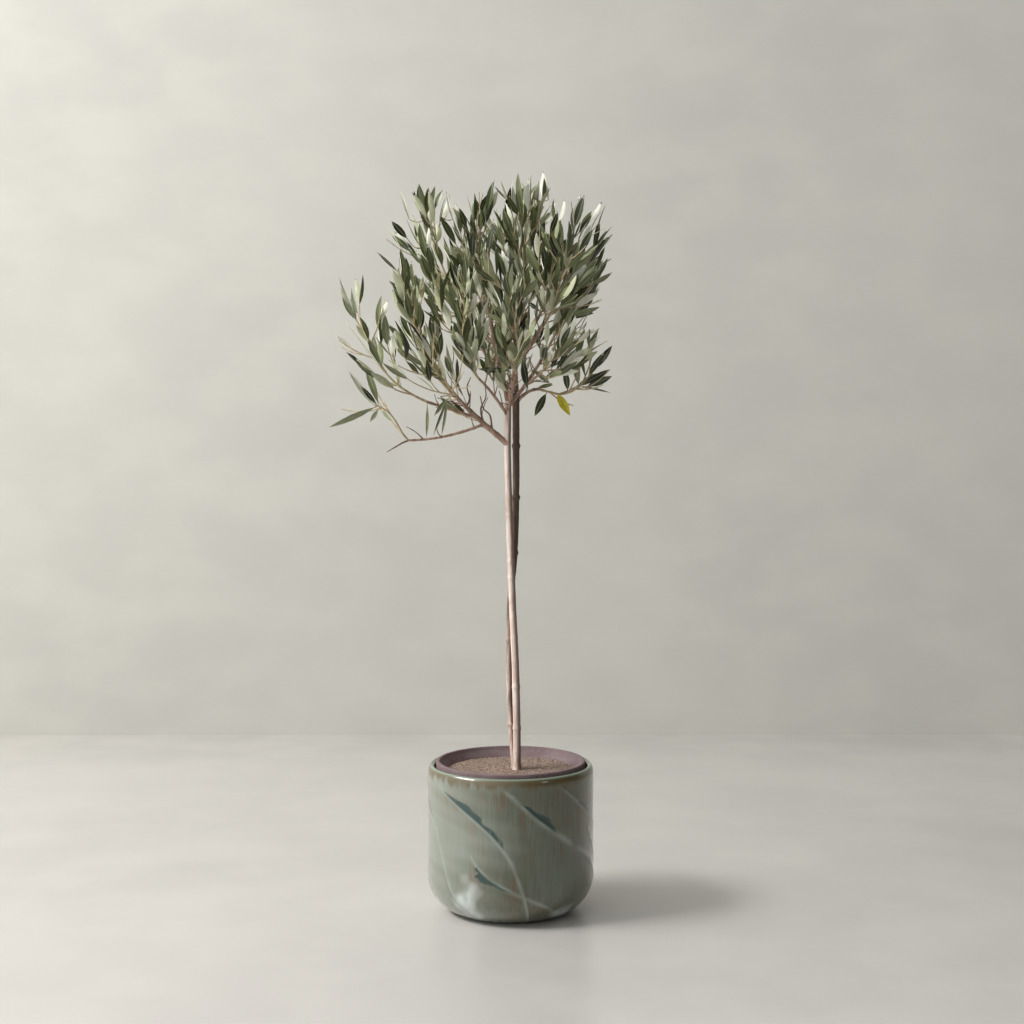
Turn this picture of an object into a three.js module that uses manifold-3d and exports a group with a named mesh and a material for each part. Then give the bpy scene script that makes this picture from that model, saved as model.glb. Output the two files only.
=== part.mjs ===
// Potted olive tree: a slender standard on two stems, in a clay pot inside a glazed cover pot.
// Millimetres, +Z up. The origin is the middle of the cover pot's flat underside.
import * as THREE from "three";
import Module from "manifold-3d";

const wasm = await Module();
wasm.setup();

// ---- Driving dimensions -------------------------------------------------------------------

const GAP = 0.3; // clearance between pieces that touch
const LATHE_SIDES = 30;

const COVER = {
  radius: 136.5, // outside of the straight wall
  footRadius: 80, // flat underside
  heelHeight: 60, // height of the rounded corner above the underside
  height: 241.5, // crest of the rounded rim
  crestRadius: 130,
  wall: 12,
  floor: 14,
};
const CLAY = {
  rimRadius: 122,
  rimDepth: 26,
  rimStep: 5, // the rim stands this far out of the tapering wall
  rimFlat: 6,
  rimRound: 1.5,
  top: 247,
  footRadius: 76,
  wall: 8,
};
const SOIL = { top: 232, edgeDrop: 1.5, radius: 105.7, flatRadius: 24 };

// Each stem: the places that its axis passes through at even steps of height, from the soil to its top,
// and the heights of its swollen nodes.
const STEM_SIDES = 8;
const STEM_RING_SPACING = 60;
const STEMS = {
  stem_front: {
    top: 835,
    course: [
      [10.5, -5], [9.8, -5.5], [7.6, -6], [3.6, -6], [0.2, -6], [-2.6, -6], [-5, -6], [-4.2, -6],
    ],
    baseRadius: 6.3,
    topRadius: 5.2,
    nodes: [300, 368, 548, 574, 650],
    nodeSwell: 0.9,
  },
  stem_back: {
    top: 849,
    course: [
      [3.5, 7.5], [-2, 7], [-3.4, 7], [-1.5, 7], [6, 7], [8.6, 7], [8.8, 6.5], [8.4, 6],
    ],
    baseRadius: 5,
    topRadius: 4.8,
    nodes: [304, 443, 587, 677, 761],
    nodeSwell: 1.5,
  },
};
const FLARE = { swell: 1.8, height: 14 }; // where a stem meets the soil
const NODE_HALF_HEIGHT = 7;

// Each bough leaves another limb at a height and tapers to its tip. `rise` lifts its middle.
const BOUGH_SIDES = 5;
const BOUGH_STEPS = 5;
const BOUGHS = {
  bough_left: { from: "stem_front", height: 765, tip: [-99, -24, 852], radii: [4.9, 2.7], rise: -3 },
  bough_left_front: { from: "bough_left", height: 815, tip: [-86, -74, 843], radii: [2.2, 1.9], rise: -2 },
  bough_left_low: { from: "bough_left", height: 797, tip: [-164, -34, 771], radii: [2.5, 1.7], rise: -6 },
  bough_left_sweep: { from: "bough_left", height: 806, tip: [-134, -44, 833], radii: [2.6, 2.1], rise: 0 },
  bough_left_inner: { from: "stem_front", height: 809, tip: [-50, -48, 869], radii: [2.5, 1.9], rise: 4 },
  bough_left_high: { from: "bough_leader", height: 863, tip: [-62, 2, 947], radii: [3, 2.3], rise: -2 },
  bough_leader: { from: "stem_front", height: 835.3, tip: [-33, -4, 965], radii: [4.2, 2.8], rise: -4 },
  bough_riser: { from: "stem_front", height: 829, tip: [17, -30, 962], radii: [3.3, 2.3], rise: -8 },
  bough_riser_right: { from: "bough_riser", height: 912, tip: [52, -40, 982], radii: [2.2, 1.9], rise: -4 },
  bough_front_right: { from: "bough_riser", height: 887, tip: [54, -84, 957], radii: [2.2, 1.9], rise: -4 },
  bough_right: { from: "stem_front", height: 825, tip: [60, 4, 919], radii: [3.2, 2.3], rise: -6 },
  bough_right_inner: { from: "bough_right", height: 855, tip: [46, -58, 877], radii: [2.2, 1.9], rise: 0 },
  bough_right_low: { from: "stem_back", height: 831, tip: [46, 8, 853], radii: [3, 2.2], rise: 6 },
  bough_leader_back: { from: "stem_back", height: 849.3, tip: [6, 34, 972], radii: [3.8, 2.6], rise: 0 },
  bough_back_left: { from: "bough_leader_back", height: 887, tip: [-48, 70, 952], radii: [2.8, 2.2], rise: -3 },
  bough_back_right: { from: "bough_leader_back", height: 902, tip: [52, 70, 959], radii: [2.8, 2.2], rise: -3 },
  bough_back_low: { from: "stem_back", height: 819, tip: [-22, 72, 869], radii: [2.6, 2], rise: 2 },
  bough_front_low: { from: "stem_front", height: 817, tip: [8, -66, 877], radii: [2.6, 2], rise: 2 },
};

// Each mass of foliage: the bough that carries it, the place that its stem grows to, how far from that
// stem it may reach, and its number of side twigs.
const MASSES = {
  leaves_left_side: { bough: "bough_left", top: [-166, -10, 1019], reach: 64, twigs: 6, seed: 101 },
  leaves_left_front: { bough: "bough_left_front", top: [-146, -104, 915], reach: 66, twigs: 6, seed: 199 },
  leaves_trail: { bough: "bough_left_low", top: [-230, -44, 824], reach: 74, twigs: 4, seed: 135 },
  leaves_left_long: { bough: "bough_left_sweep", top: [-246, -50, 984], reach: 54, twigs: 6, seed: 288 },
  leaves_front_left: { bough: "bough_left_inner", top: [-66, -98, 1007], reach: 70, twigs: 6, seed: 148 },
  leaves_top_left: { bough: "bough_left_high", top: [-136, -2, 1126], reach: 76, twigs: 6, seed: 136 },
  leaves_top_middle: { bough: "bough_leader", top: [-58, -30, 1121], reach: 72, twigs: 6, seed: 198 },
  leaves_top: { bough: "bough_riser", top: [20, -36, 1143], reach: 70, twigs: 6, seed: 26 },
  leaves_top_right: { bough: "bough_riser_right", top: [102, -42, 1111], reach: 72, twigs: 6, seed: 161 },
  leaves_right: { bough: "bough_right", top: [108, 26, 1049], reach: 60, twigs: 6, seed: 286 },
  leaves_right_inner: { bough: "bough_right_inner", top: [86, -92, 935], reach: 64, twigs: 6, seed: 50 },
  leaves_right_low: { bough: "bough_right_low", top: [136, 6, 885], reach: 56, twigs: 6, seed: 66 },
  leaves_top_back: { bough: "bough_leader_back", top: [14, 62, 1127], reach: 74, twigs: 6, seed: 140 },
  leaves_back_left: { bough: "bough_back_left", top: [-94, 98, 1057], reach: 76, twigs: 6, seed: 60 },
  leaves_back_right: { bough: "bough_back_right", top: [98, 98, 1047], reach: 76, twigs: 6, seed: 185 },
  leaves_back_low: { bough: "bough_back_low", top: [-20, 134, 947], reach: 70, twigs: 5, seed: 183 },
  leaves_front: { bough: "bough_front_low", top: [-8, -112, 1027], reach: 66, twigs: 6, seed: 200 },
  leaves_front_right: { bough: "bough_front_right", top: [84, -108, 1057], reach: 72, twigs: 6, seed: 107 },
};

const MASS_STEM = {
  sides: 3,
  steps: 5,
  tipRadius: 1.4,
  straight: 2, // length of its root that follows the bough
  bend: 0.45, // share of the way to its top where it turns
  bare: 28, // length below the first leaves
};
const TWIG = {
  sides: 3,
  steps: 2,
  radius: 1.8,
  tipRadius: 1.3,
  length: 88,
  spread: [0.8, 1.2], // least and greatest share of the length
  shorter: 0.35, // share of the length that a twig at the stem's top lacks
  shortest: 30,
  first: 0.1, // place of the lowest twig, as a share of the mass's stem
  last: 0.95,
  angle: 0.85, // radians from the stem
  jitter: 0.6, // radians round the stem
  lift: 0.55, // how strongly a twig turns up
  bare: 16,
  tries: 6, // each after the first is turned on and shorter
  retryTurn: 1.1,
  retryLength: 0.88,
};
const LEAF = {
  length: 58,
  spread: [0.8, 1.15], // least and greatest share of the length
  tipLength: 0.85, // the share for the leaf at a twig's tip
  halfWidth: 8.2,
  thickness: 1.8,
  widest: 0.45, // share of the length
  sunk: 1, // how far the root lies behind the twig's axis
  stagger: 3, // between the two leaves of a pair
  spacing: 21, // between pairs along a twig
  angle: [0.35, 0.7], // radians from the twig
  tipAngle: 0.12,
  roll: 0.45, // radians round its own axis, either way
  turn: Math.PI / 2, // from pair to pair round the twig
  turnJitter: 0.25,
  lift: 0.2, // how strongly a leaf turns up
  tested: [0.35, 0.55, 0.75, 1], // shares of the midrib where its room is tested
};
const SPACE_MARGIN = 1.6; // kept from the neighbours' space
const LIMB_MARGIN = 1;
const LEAF_APART = 3; // between the blades of one mass
const TIP_SHARE = 0.98; // where the leaf at a twig's tip has its root
const GOLDEN_ANGLE = Math.PI * (3 - Math.sqrt(5));

const COLOURS = {
  glaze: { color: 0x87917f, roughness: 0.15, metalness: 0 },
  clay: { color: 0x86706f, roughness: 0.8, metalness: 0 },
  soil: { color: 0xa08c78, roughness: 1, metalness: 0 },
  paleBark: { color: 0xc4a896, roughness: 0.7, metalness: 0 },
  darkBark: { color: 0x6e5848, roughness: 0.8, metalness: 0 },
  leaf: { color: 0x6a7550, roughness: 0.6, metalness: 0 },
};

// ---- Small helpers ------------------------------------------------------------------------

const UP = new THREE.Vector3(0, 0, 1);
const vector = (p) => new THREE.Vector3(...p);
const between = (random, [low, high]) => low + (high - low) * random();
const eitherWay = (random, most) => 2 * most * (random() - 0.5);

// A seeded source of numbers from 0 to 1 (mulberry32).
function seededRandom(seed) {
  let state = seed >>> 0;
  return () => {
    state = (state + 0x6d2b79f5) >>> 0;
    let t = state;
    t = Math.imul(t ^ (t >>> 15), t | 1);
    t ^= t + Math.imul(t ^ (t >>> 7), t | 61);
    return ((t ^ (t >>> 14)) >>> 0) / 4294967296;
  };
}

function solidFrom(positions, triangles) {
  return new wasm.Manifold(
    new wasm.Mesh({
      numProp: 3,
      vertProperties: new Float32Array(positions),
      triVerts: new Uint32Array(triangles),
    }),
  );
}

// The largest body of a solid: a boolean can leave loose scraps.
function largestBody(solid) {
  return solid.decompose().reduce((a, b) => (a.volume() >= b.volume() ? a : b));
}

function geometryOf(solid) {
  const mesh = solid.getMesh();
  const geometry = new THREE.BufferGeometry();
  geometry.setAttribute("position", new THREE.BufferAttribute(mesh.vertProperties, 3));
  geometry.setIndex(new THREE.BufferAttribute(mesh.triVerts, 1));
  geometry.computeVertexNormals();
  return geometry;
}

// A direction square to `axis`, turned round it by `turn` radians.
function squareTo(axis, turn) {
  const level = Math.abs(axis.z) > 0.9 ? new THREE.Vector3(1, 0, 0) : UP;
  const side = new THREE.Vector3().crossVectors(axis, level).normalize();
  return side.applyAxisAngle(axis, turn);
}

function distanceToPath(point, path) {
  const line = new THREE.Line3();
  const nearest = new THREE.Vector3();
  let least = Infinity;
  for (let i = 1; i < path.length; i++) {
    line.set(path[i - 1], path[i]);
    line.closestPointToPoint(point, true, nearest);
    least = Math.min(least, nearest.distanceTo(point));
  }
  return least;
}

// ---- Limbs --------------------------------------------------------------------------------

// A closed tube along a path, with a flat end at both ends. `level` keeps every ring horizontal.
function tubeSolid(path, radii, sides, level = false) {
  const positions = [];
  const triangles = [];
  const tangent = new THREE.Vector3();
  let side = null;
  path.forEach((centre, i) => {
    const before = path[Math.max(i - 1, 0)];
    const after = path[Math.min(i + 1, path.length - 1)];
    tangent.subVectors(after, before).normalize();
    if (level) tangent.copy(UP);
    side = side ? side.addScaledVector(tangent, -side.dot(tangent)).normalize() : squareTo(tangent, 0);
    const across = new THREE.Vector3().crossVectors(tangent, side);
    for (let k = 0; k < sides; k++) {
      const turn = (2 * Math.PI * k) / sides;
      const corner = centre
        .clone()
        .addScaledVector(side, radii[i] * Math.cos(turn))
        .addScaledVector(across, radii[i] * Math.sin(turn));
      positions.push(corner.x, corner.y, corner.z);
    }
  });
  for (let i = 1; i < path.length; i++) {
    for (let k = 0; k < sides; k++) {
      const a = (i - 1) * sides + k;
      const b = (i - 1) * sides + ((k + 1) % sides);
      triangles.push(a, b, b + sides, a, b + sides, a + sides);
    }
  }
  const last = (path.length - 1) * sides;
  for (let k = 1; k < sides - 1; k++) {
    triangles.push(0, k + 1, k, last, last + k, last + k + 1);
  }
  return solidFrom(positions, triangles);
}

// The same limb with its skin moved out, and its ends too.
function grownLimb(limb, by) {
  const path = limb.path.map((p) => p.clone());
  const end = path.length - 1;
  path[0].addScaledVector(limb.path[0].clone().sub(limb.path[1]).normalize(), by);
  path[end].addScaledVector(limb.path[end].clone().sub(limb.path[end - 1]).normalize(), by);
  return tubeSolid(path, limb.radii.map((r) => r + by), limb.sides, limb.level);
}

function makeStem({ top, course, baseRadius, topRadius, nodes, nodeSwell }) {
  const foot = SOIL.top + GAP;
  const heightOf = (share) => foot + share * (top - foot);
  const axis = new THREE.CatmullRomCurve3(
    course.map(([x, y], i) => new THREE.Vector3(x, y, heightOf(i / (course.length - 1)))),
  );
  const heights = [foot, foot + FLARE.height / 2, foot + FLARE.height];
  for (let z = foot + STEM_RING_SPACING; z < top - STEM_RING_SPACING / 3; z += STEM_RING_SPACING) {
    if (nodes.every((node) => Math.abs(node - z) > 3 * NODE_HALF_HEIGHT)) heights.push(z);
  }
  for (const node of nodes) heights.push(node - NODE_HALF_HEIGHT, node, node + NODE_HALF_HEIGHT);
  heights.push(top);
  heights.sort((a, b) => a - b);
  const path = heights.map((z) => axis.getPoint((z - foot) / (top - foot)).setZ(z));
  const radii = heights.map((z) => {
    const share = (z - foot) / (top - foot);
    const flare = FLARE.swell * Math.max(0, 1 - (z - foot) / FLARE.height) ** 2;
    const swell = nodes.includes(z) ? nodeSwell : 0;
    return baseRadius + share * (topRadius - baseRadius) + flare + swell;
  });
  return { path, radii, sides: STEM_SIDES, level: true };
}

// The point of a limb's axis at a height.
function atHeight(limb, height) {
  for (let i = 1; i < limb.path.length; i++) {
    const a = limb.path[i - 1];
    const b = limb.path[i];
    if (a.z <= height && height <= b.z) return a.clone().lerp(b, (height - a.z) / (b.z - a.z));
  }
  const end = limb.path.length - 1;
  return limb.path[end].clone().setZ(height);
}

function makeBough({ from, height, tip, radii: [thick, thin], rise }, limbs) {
  const start = atHeight(limbs[from], height);
  const end = vector(tip);
  const middle = start.clone().lerp(end, 0.5).addScaledVector(UP, 2 * rise);
  const curve = new THREE.QuadraticBezierCurve3(start, middle, end);
  const path = curve.getPoints(BOUGH_STEPS);
  const radii = path.map((_, i) => THREE.MathUtils.lerp(thick, thin, i / BOUGH_STEPS));
  return { path, radii, sides: BOUGH_SIDES };
}

// ---- Foliage ------------------------------------------------------------------------------

// A mass's stem goes on from its bough's tip in the bough's own direction and turns to `top`.
function makeMassStem({ bough, top }, limbs) {
  const carrier = limbs[bough];
  const end = carrier.path.length - 1;
  const heading = carrier.path[end].clone().sub(carrier.path[end - 1]).normalize();
  const start = carrier.path[end].clone().addScaledVector(heading, GAP);
  const goal = vector(top);
  const bend = start.clone().addScaledVector(heading, MASS_STEM.bend * start.distanceTo(goal));
  const curve = new THREE.QuadraticBezierCurve3(start, bend, goal);
  const path = curve.getPoints(MASS_STEM.steps);
  path.splice(1, 0, start.clone().addScaledVector(heading, MASS_STEM.straight));
  const thick = carrier.radii[end];
  const radii = path.map((p) =>
    THREE.MathUtils.lerp(thick, MASS_STEM.tipRadius, start.distanceTo(p) / start.distanceTo(goal)),
  );
  return { path, radii: radii.map((r) => Math.max(r, MASS_STEM.tipRadius)), sides: MASS_STEM.sides };
}

// Whether a point lies in a mass's own space, and a limb's width clear of every limb.
function isFree(point, name, stems, limbs, halfWidth) {
  const own = distanceToPath(point, stems[name].path);
  if (own > MASSES[name].reach) return false;
  for (const other in stems) {
    if (other === name) continue;
    if (distanceToPath(point, stems[other].path) < own + SPACE_MARGIN) return false;
  }
  return Object.values(limbs).every(
    (limb) => distanceToPath(point, limb.path) > limb.radii[0] + halfWidth + LIMB_MARGIN,
  );
}

// A place along a path, by share of its number of steps, with the direction there.
function alongPath(path, share) {
  const step = Math.min(Math.floor(share * (path.length - 1)), path.length - 2);
  const part = share * (path.length - 1) - step;
  return {
    point: path[step].clone().lerp(path[step + 1], part),
    axis: path[step + 1].clone().sub(path[step]).normalize(),
  };
}

// A side twig: it leaves the stem at an angle and turns up. Null where it finds no room.
function growTwig(stem, share, turn, random, free) {
  const { point, axis } = alongPath(stem.path, share);
  let length = TWIG.length * (1 - TWIG.shorter * share) * between(random, TWIG.spread);
  for (let attempt = 0; attempt < TWIG.tries; attempt++) {
    const side = squareTo(axis, turn + attempt * TWIG.retryTurn);
    const heading = axis.clone().multiplyScalar(Math.cos(TWIG.angle));
    heading.addScaledVector(side, Math.sin(TWIG.angle));
    const turned = heading.clone().addScaledVector(UP, TWIG.lift).normalize();
    const bend = point.clone().addScaledVector(heading, 0.5 * length);
    const end = bend.clone().addScaledVector(turned, 0.5 * length);
    const path = new THREE.QuadraticBezierCurve3(point, bend, end).getPoints(TWIG.steps);
    if (length > TWIG.shortest && path.slice(1).every((p) => free(p, TWIG.radius))) {
      const radii = path.map((_, i) => THREE.MathUtils.lerp(TWIG.radius, TWIG.tipRadius, i / TWIG.steps));
      return { path, radii, sides: TWIG.sides };
    }
    length *= TWIG.retryLength;
  }
  return null;
}

// One leaf: its root, its own axis, the side that its blade spreads to, and its length.
function leafFrame(root, axis, side, angle, roll, length) {
  const along = axis.clone().multiplyScalar(Math.cos(angle)).addScaledVector(side, Math.sin(angle));
  const across = new THREE.Vector3().crossVectors(axis, side).normalize().applyAxisAngle(along, roll);
  return { root, along, across, length };
}

// The outer two thirds of a leaf's midrib.
function midribOf({ root, along, length }) {
  return [1 / 3, 1].map((share) => root.clone().addScaledVector(along, share * length));
}

// Whether a leaf keeps to its mass's space, clear of the other leaves and twigs of that mass.
function leafFits({ root, along, across, length }, twig, twigs, leaves, free) {
  const halfWidth = (LEAF.halfWidth * length) / LEAF.length;
  for (const share of LEAF.tested) {
    const point = root.clone().addScaledVector(along, share * length);
    if (!free(point, halfWidth)) return false;
    if (leaves.some((leaf) => distanceToPath(point, leaf.midrib) < LEAF_APART)) return false;
    if (twigs.some((other) => other !== twig && distanceToPath(point, other.path) < LEAF_APART)) return false;
  }
  return [-1, 1].every((way) =>
    free(
      root.clone().addScaledVector(along, LEAF.widest * length).addScaledVector(across, way * halfWidth),
      0,
    ),
  );
}

// Opposite pairs of leaves along a twig, each pair turned a quarter from the last, and one at its tip.
function growLeaves(twig, bare, twigs, leaves, random, free) {
  const keep = (leaf) => {
    leaf.along.addScaledVector(UP, LEAF.lift).normalize();
    leaf.across.addScaledVector(leaf.along, -leaf.across.dot(leaf.along)).normalize();
    if (!leafFits(leaf, twig, twigs, leaves, free)) return;
    leaf.midrib = midribOf(leaf);
    leaf.twig = twig;
    leaves.push(leaf);
  };
  let length = 0;
  for (let i = 1; i < twig.path.length; i++) length += twig.path[i].distanceTo(twig.path[i - 1]);
  const pairs = Math.max(1, Math.floor((length - bare) / LEAF.spacing));
  let turn = 2 * Math.PI * random();
  for (let pair = 0; pair < pairs; pair++) {
    for (const way of [0, 1]) {
      const reached = bare + (pair + 0.5) * LEAF.spacing + way * LEAF.stagger;
      const { point, axis } = alongPath(twig.path, reached / length);
      const side = squareTo(axis, turn + way * Math.PI);
      const angle = between(random, LEAF.angle);
      const size = LEAF.length * between(random, LEAF.spread);
      keep(leafFrame(point, axis, side, angle, eitherWay(random, LEAF.roll), size));
    }
    turn += LEAF.turn + eitherWay(random, LEAF.turnJitter);
  }
  const { point, axis } = alongPath(twig.path, TIP_SHARE);
  const roll = eitherWay(random, LEAF.roll);
  keep(leafFrame(point, axis, squareTo(axis, turn), LEAF.tipAngle, roll, LEAF.tipLength * LEAF.length));
}

// A leaf's blade: flat above with a keel below, from a pointed root sunk in the twig to a pointed tip.
function leafSolid({ root, along, across, length }) {
  const below = new THREE.Vector3().crossVectors(along, across);
  const halfWidth = (LEAF.halfWidth * length) / LEAF.length;
  const middle = root.clone().addScaledVector(along, LEAF.widest * length);
  const corners = [
    root.clone().addScaledVector(along, -LEAF.sunk),
    middle.clone().addScaledVector(across, halfWidth),
    middle.clone().addScaledVector(below, LEAF.thickness),
    middle.clone().addScaledVector(across, -halfWidth),
    root.clone().addScaledVector(along, length),
  ];
  const triangles = [];
  for (let k = 1; k <= 3; k++) {
    const next = (k % 3) + 1;
    triangles.push(0, next, k, 4, k, next);
  }
  return solidFrom(corners.flatMap((corner) => corner.toArray()), triangles);
}

function growMass(name, stems, limbs) {
  const { twigs: count, seed } = MASSES[name];
  const stem = stems[name];
  const random = seededRandom(seed);
  const free = (point, halfWidth) => isFree(point, name, stems, limbs, halfWidth);
  const twigs = [stem];
  for (let k = 0; k < count; k++) {
    const share = TWIG.first + (TWIG.last - TWIG.first) * ((k + 0.5) / count);
    const twig = growTwig(stem, share, k * GOLDEN_ANGLE + TWIG.jitter * random(), random, free);
    if (twig) twigs.push(twig);
  }
  const leaves = [];
  for (const twig of twigs) {
    growLeaves(twig, twig === stem ? MASS_STEM.bare : TWIG.bare, twigs, leaves, random, free);
  }
  const leafy = twigs.filter((twig) => twig === stem || leaves.some((leaf) => leaf.twig === twig));
  return { twigs: leafy, leaves };
}

// ---- Pots and soil ------------------------------------------------------------------------

function arcPoints(centreR, centreZ, semiR, semiZ, from, to, steps) {
  const points = [];
  for (let i = 0; i <= steps; i++) {
    const angle = THREE.MathUtils.degToRad(from + ((to - from) * i) / steps);
    points.push(
      new THREE.Vector2(centreR + semiR * Math.cos(angle), centreZ + semiZ * Math.sin(angle)),
    );
  }
  return points;
}

// A LatheGeometry turns about Y: its profile is turned to stand along Z.
function turned(profile) {
  return new THREE.LatheGeometry(profile, LATHE_SIDES).rotateX(Math.PI / 2);
}

function coverPot() {
  const { radius, footRadius, heelHeight, height, crestRadius, wall, floor } = COVER;
  const shoulder = radius - crestRadius;
  const lip = crestRadius - (radius - wall);
  const innerHeel = heelHeight - floor;
  return turned([
    new THREE.Vector2(0, 0),
    ...arcPoints(footRadius, heelHeight, radius - footRadius, heelHeight, -90, 0, 6),
    ...arcPoints(crestRadius, height - 2 * shoulder, shoulder, 2 * shoulder, 0, 90, 3),
    ...arcPoints(crestRadius, height - lip, lip, lip, 120, 180, 2),
    ...arcPoints(footRadius, heelHeight, radius - wall - footRadius, innerHeel, 0, -90, 4),
    new THREE.Vector2(0, floor),
  ]);
}

// The clay pot's bore narrows from the rim to the edge of the soil, then tapers to its floor.
function clayPot() {
  const { rimRadius, rimDepth, rimStep, rimFlat, rimRound, top, footRadius, wall } = CLAY;
  const foot = COVER.floor + GAP;
  const neck = top - rimDepth;
  return turned([
    new THREE.Vector2(0, foot),
    new THREE.Vector2(footRadius, foot),
    new THREE.Vector2(rimRadius - rimStep, neck),
    new THREE.Vector2(rimRadius, neck),
    new THREE.Vector2(rimRadius, top - rimRound),
    new THREE.Vector2(rimRadius - rimRound, top),
    new THREE.Vector2(rimRadius - rimFlat, top),
    new THREE.Vector2(SOIL.radius + GAP, SOIL.top - SOIL.edgeDrop),
    new THREE.Vector2(footRadius - wall, foot + wall),
    new THREE.Vector2(0, foot + wall),
  ]);
}

function soilFill() {
  const { top, edgeDrop, radius, flatRadius } = SOIL;
  const floor = COVER.floor + GAP + CLAY.wall + GAP;
  return turned([
    new THREE.Vector2(0, floor),
    new THREE.Vector2(CLAY.footRadius - CLAY.wall - GAP, floor),
    new THREE.Vector2(radius, top - edgeDrop),
    new THREE.Vector2(flatRadius, top),
    new THREE.Vector2(0, top),
  ]);
}

// ---- The whole plant ----------------------------------------------------------------------

const tree = new THREE.Group();

function addMesh(name, geometry, look) {
  const mesh = new THREE.Mesh(geometry, new THREE.MeshStandardMaterial(look));
  mesh.name = name;
  tree.add(mesh);
}

addMesh("cover_pot", coverPot(), COLOURS.glaze);
addMesh("clay_pot", clayPot(), COLOURS.clay);
addMesh("soil", soilFill(), COLOURS.soil);

const limbs = {};
for (const name in STEMS) limbs[name] = makeStem(STEMS[name]);
const boughNames = Object.keys(BOUGHS);
// A bough is made after the limb that it leaves.
while (boughNames.some((name) => !limbs[name])) {
  for (const name of boughNames) {
    if (!limbs[name] && limbs[BOUGHS[name].from]) limbs[name] = makeBough(BOUGHS[name], limbs);
  }
}

const madeLimbs = [];
for (const name in limbs) {
  let solid = tubeSolid(limbs[name].path, limbs[name].radii, limbs[name].sides, limbs[name].level);
  for (const made of madeLimbs) solid = solid.subtract(grownLimb(limbs[made], GAP));
  madeLimbs.push(name);
  const look = name === "stem_back" ? COLOURS.darkBark : COLOURS.paleBark;
  addMesh(name, geometryOf(largestBody(solid)), look);
}

const massStems = {};
for (const name in MASSES) massStems[name] = makeMassStem(MASSES[name], limbs);
for (const name in MASSES) {
  const { twigs, leaves } = growMass(name, massStems, limbs);
  const solids = twigs.map((twig) => tubeSolid(twig.path, twig.radii, twig.sides));
  solids.push(...leaves.map(leafSolid));
  addMesh(name, geometryOf(largestBody(wasm.Manifold.union(solids))), COLOURS.leaf);
}

export default tree;
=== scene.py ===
"""A potted olive tree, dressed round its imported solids.

The plant is grown in millimetres by the same seeded rule as its solids, then carried on to finer twigs
and to leaves of real width. Every mesh is made in metres.
"""

import math

import bpy
import numpy as np
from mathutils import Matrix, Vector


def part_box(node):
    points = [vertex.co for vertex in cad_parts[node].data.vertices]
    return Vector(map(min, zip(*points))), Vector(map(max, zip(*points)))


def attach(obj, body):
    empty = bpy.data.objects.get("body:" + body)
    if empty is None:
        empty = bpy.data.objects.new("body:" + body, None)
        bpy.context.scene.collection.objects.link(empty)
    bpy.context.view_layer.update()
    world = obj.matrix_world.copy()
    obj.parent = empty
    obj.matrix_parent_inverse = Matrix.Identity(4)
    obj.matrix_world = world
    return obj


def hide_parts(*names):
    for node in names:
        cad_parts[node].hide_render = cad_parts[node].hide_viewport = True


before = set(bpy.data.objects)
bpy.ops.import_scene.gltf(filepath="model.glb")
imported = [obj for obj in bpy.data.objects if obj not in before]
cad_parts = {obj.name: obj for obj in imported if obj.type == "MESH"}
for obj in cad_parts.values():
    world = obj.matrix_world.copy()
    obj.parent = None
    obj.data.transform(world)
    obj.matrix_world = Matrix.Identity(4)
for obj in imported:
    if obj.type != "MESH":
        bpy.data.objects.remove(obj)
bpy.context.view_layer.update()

# ---- Sizes that the solids share, in millimetres ---------------------------------------------------

MM = 0.001
GAP = 0.3

COVER = {"foot_radius": 80.0, "heel_height": 60.0, "crest_radius": 130.0, "wall": 12.0, "floor": 14.0}
CLAY = {"rim_depth": 26.0, "rim_step": 5.0, "rim_flat": 6.0, "foot_radius": 76.0, "wall": 8.0}
SOIL = {"top": 232.0, "edge_drop": 1.5, "radius": 105.7}

# Each stem: its top, its course from foot to top, the radius that leaves keep clear of, its radii with bark
# at foot and top, how far its lower half is tucked towards +X, its nodes' heights and how far they swell.
STEMS = {
    "stem_front": {
        "top": 835,
        "course": [
            (10.5, -5), (9.8, -5.5), (7.6, -6), (3.6, -6),
            (0.2, -6), (-2.6, -6), (-5, -6), (-4.2, -6),
        ],
        "clear_radius": 8.1,
        "dressed": (6.3, 5.2),
        "tuck": 0.0,
        "nodes": [300, 368, 548, 574, 650],
        "swell": 0.9,
    },
    "stem_back": {
        "top": 849,
        "course": [(3.5, 7.5), (-2, 7), (-3.4, 7), (-1.5, 7), (6, 7), (8.6, 7), (8.8, 6.5), (8.4, 6)],
        "clear_radius": 6.8,
        "dressed": (4.3, 5.8),
        "tuck": 1.6,
        "nodes": [304, 443, 587, 677, 761],
        "swell": 1.5,
    },
}
STEM_RING_SPACING = 60
FOOT_RINGS = (7, 14)  # above the soil
NODE_HALF_HEIGHT = 7

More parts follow.
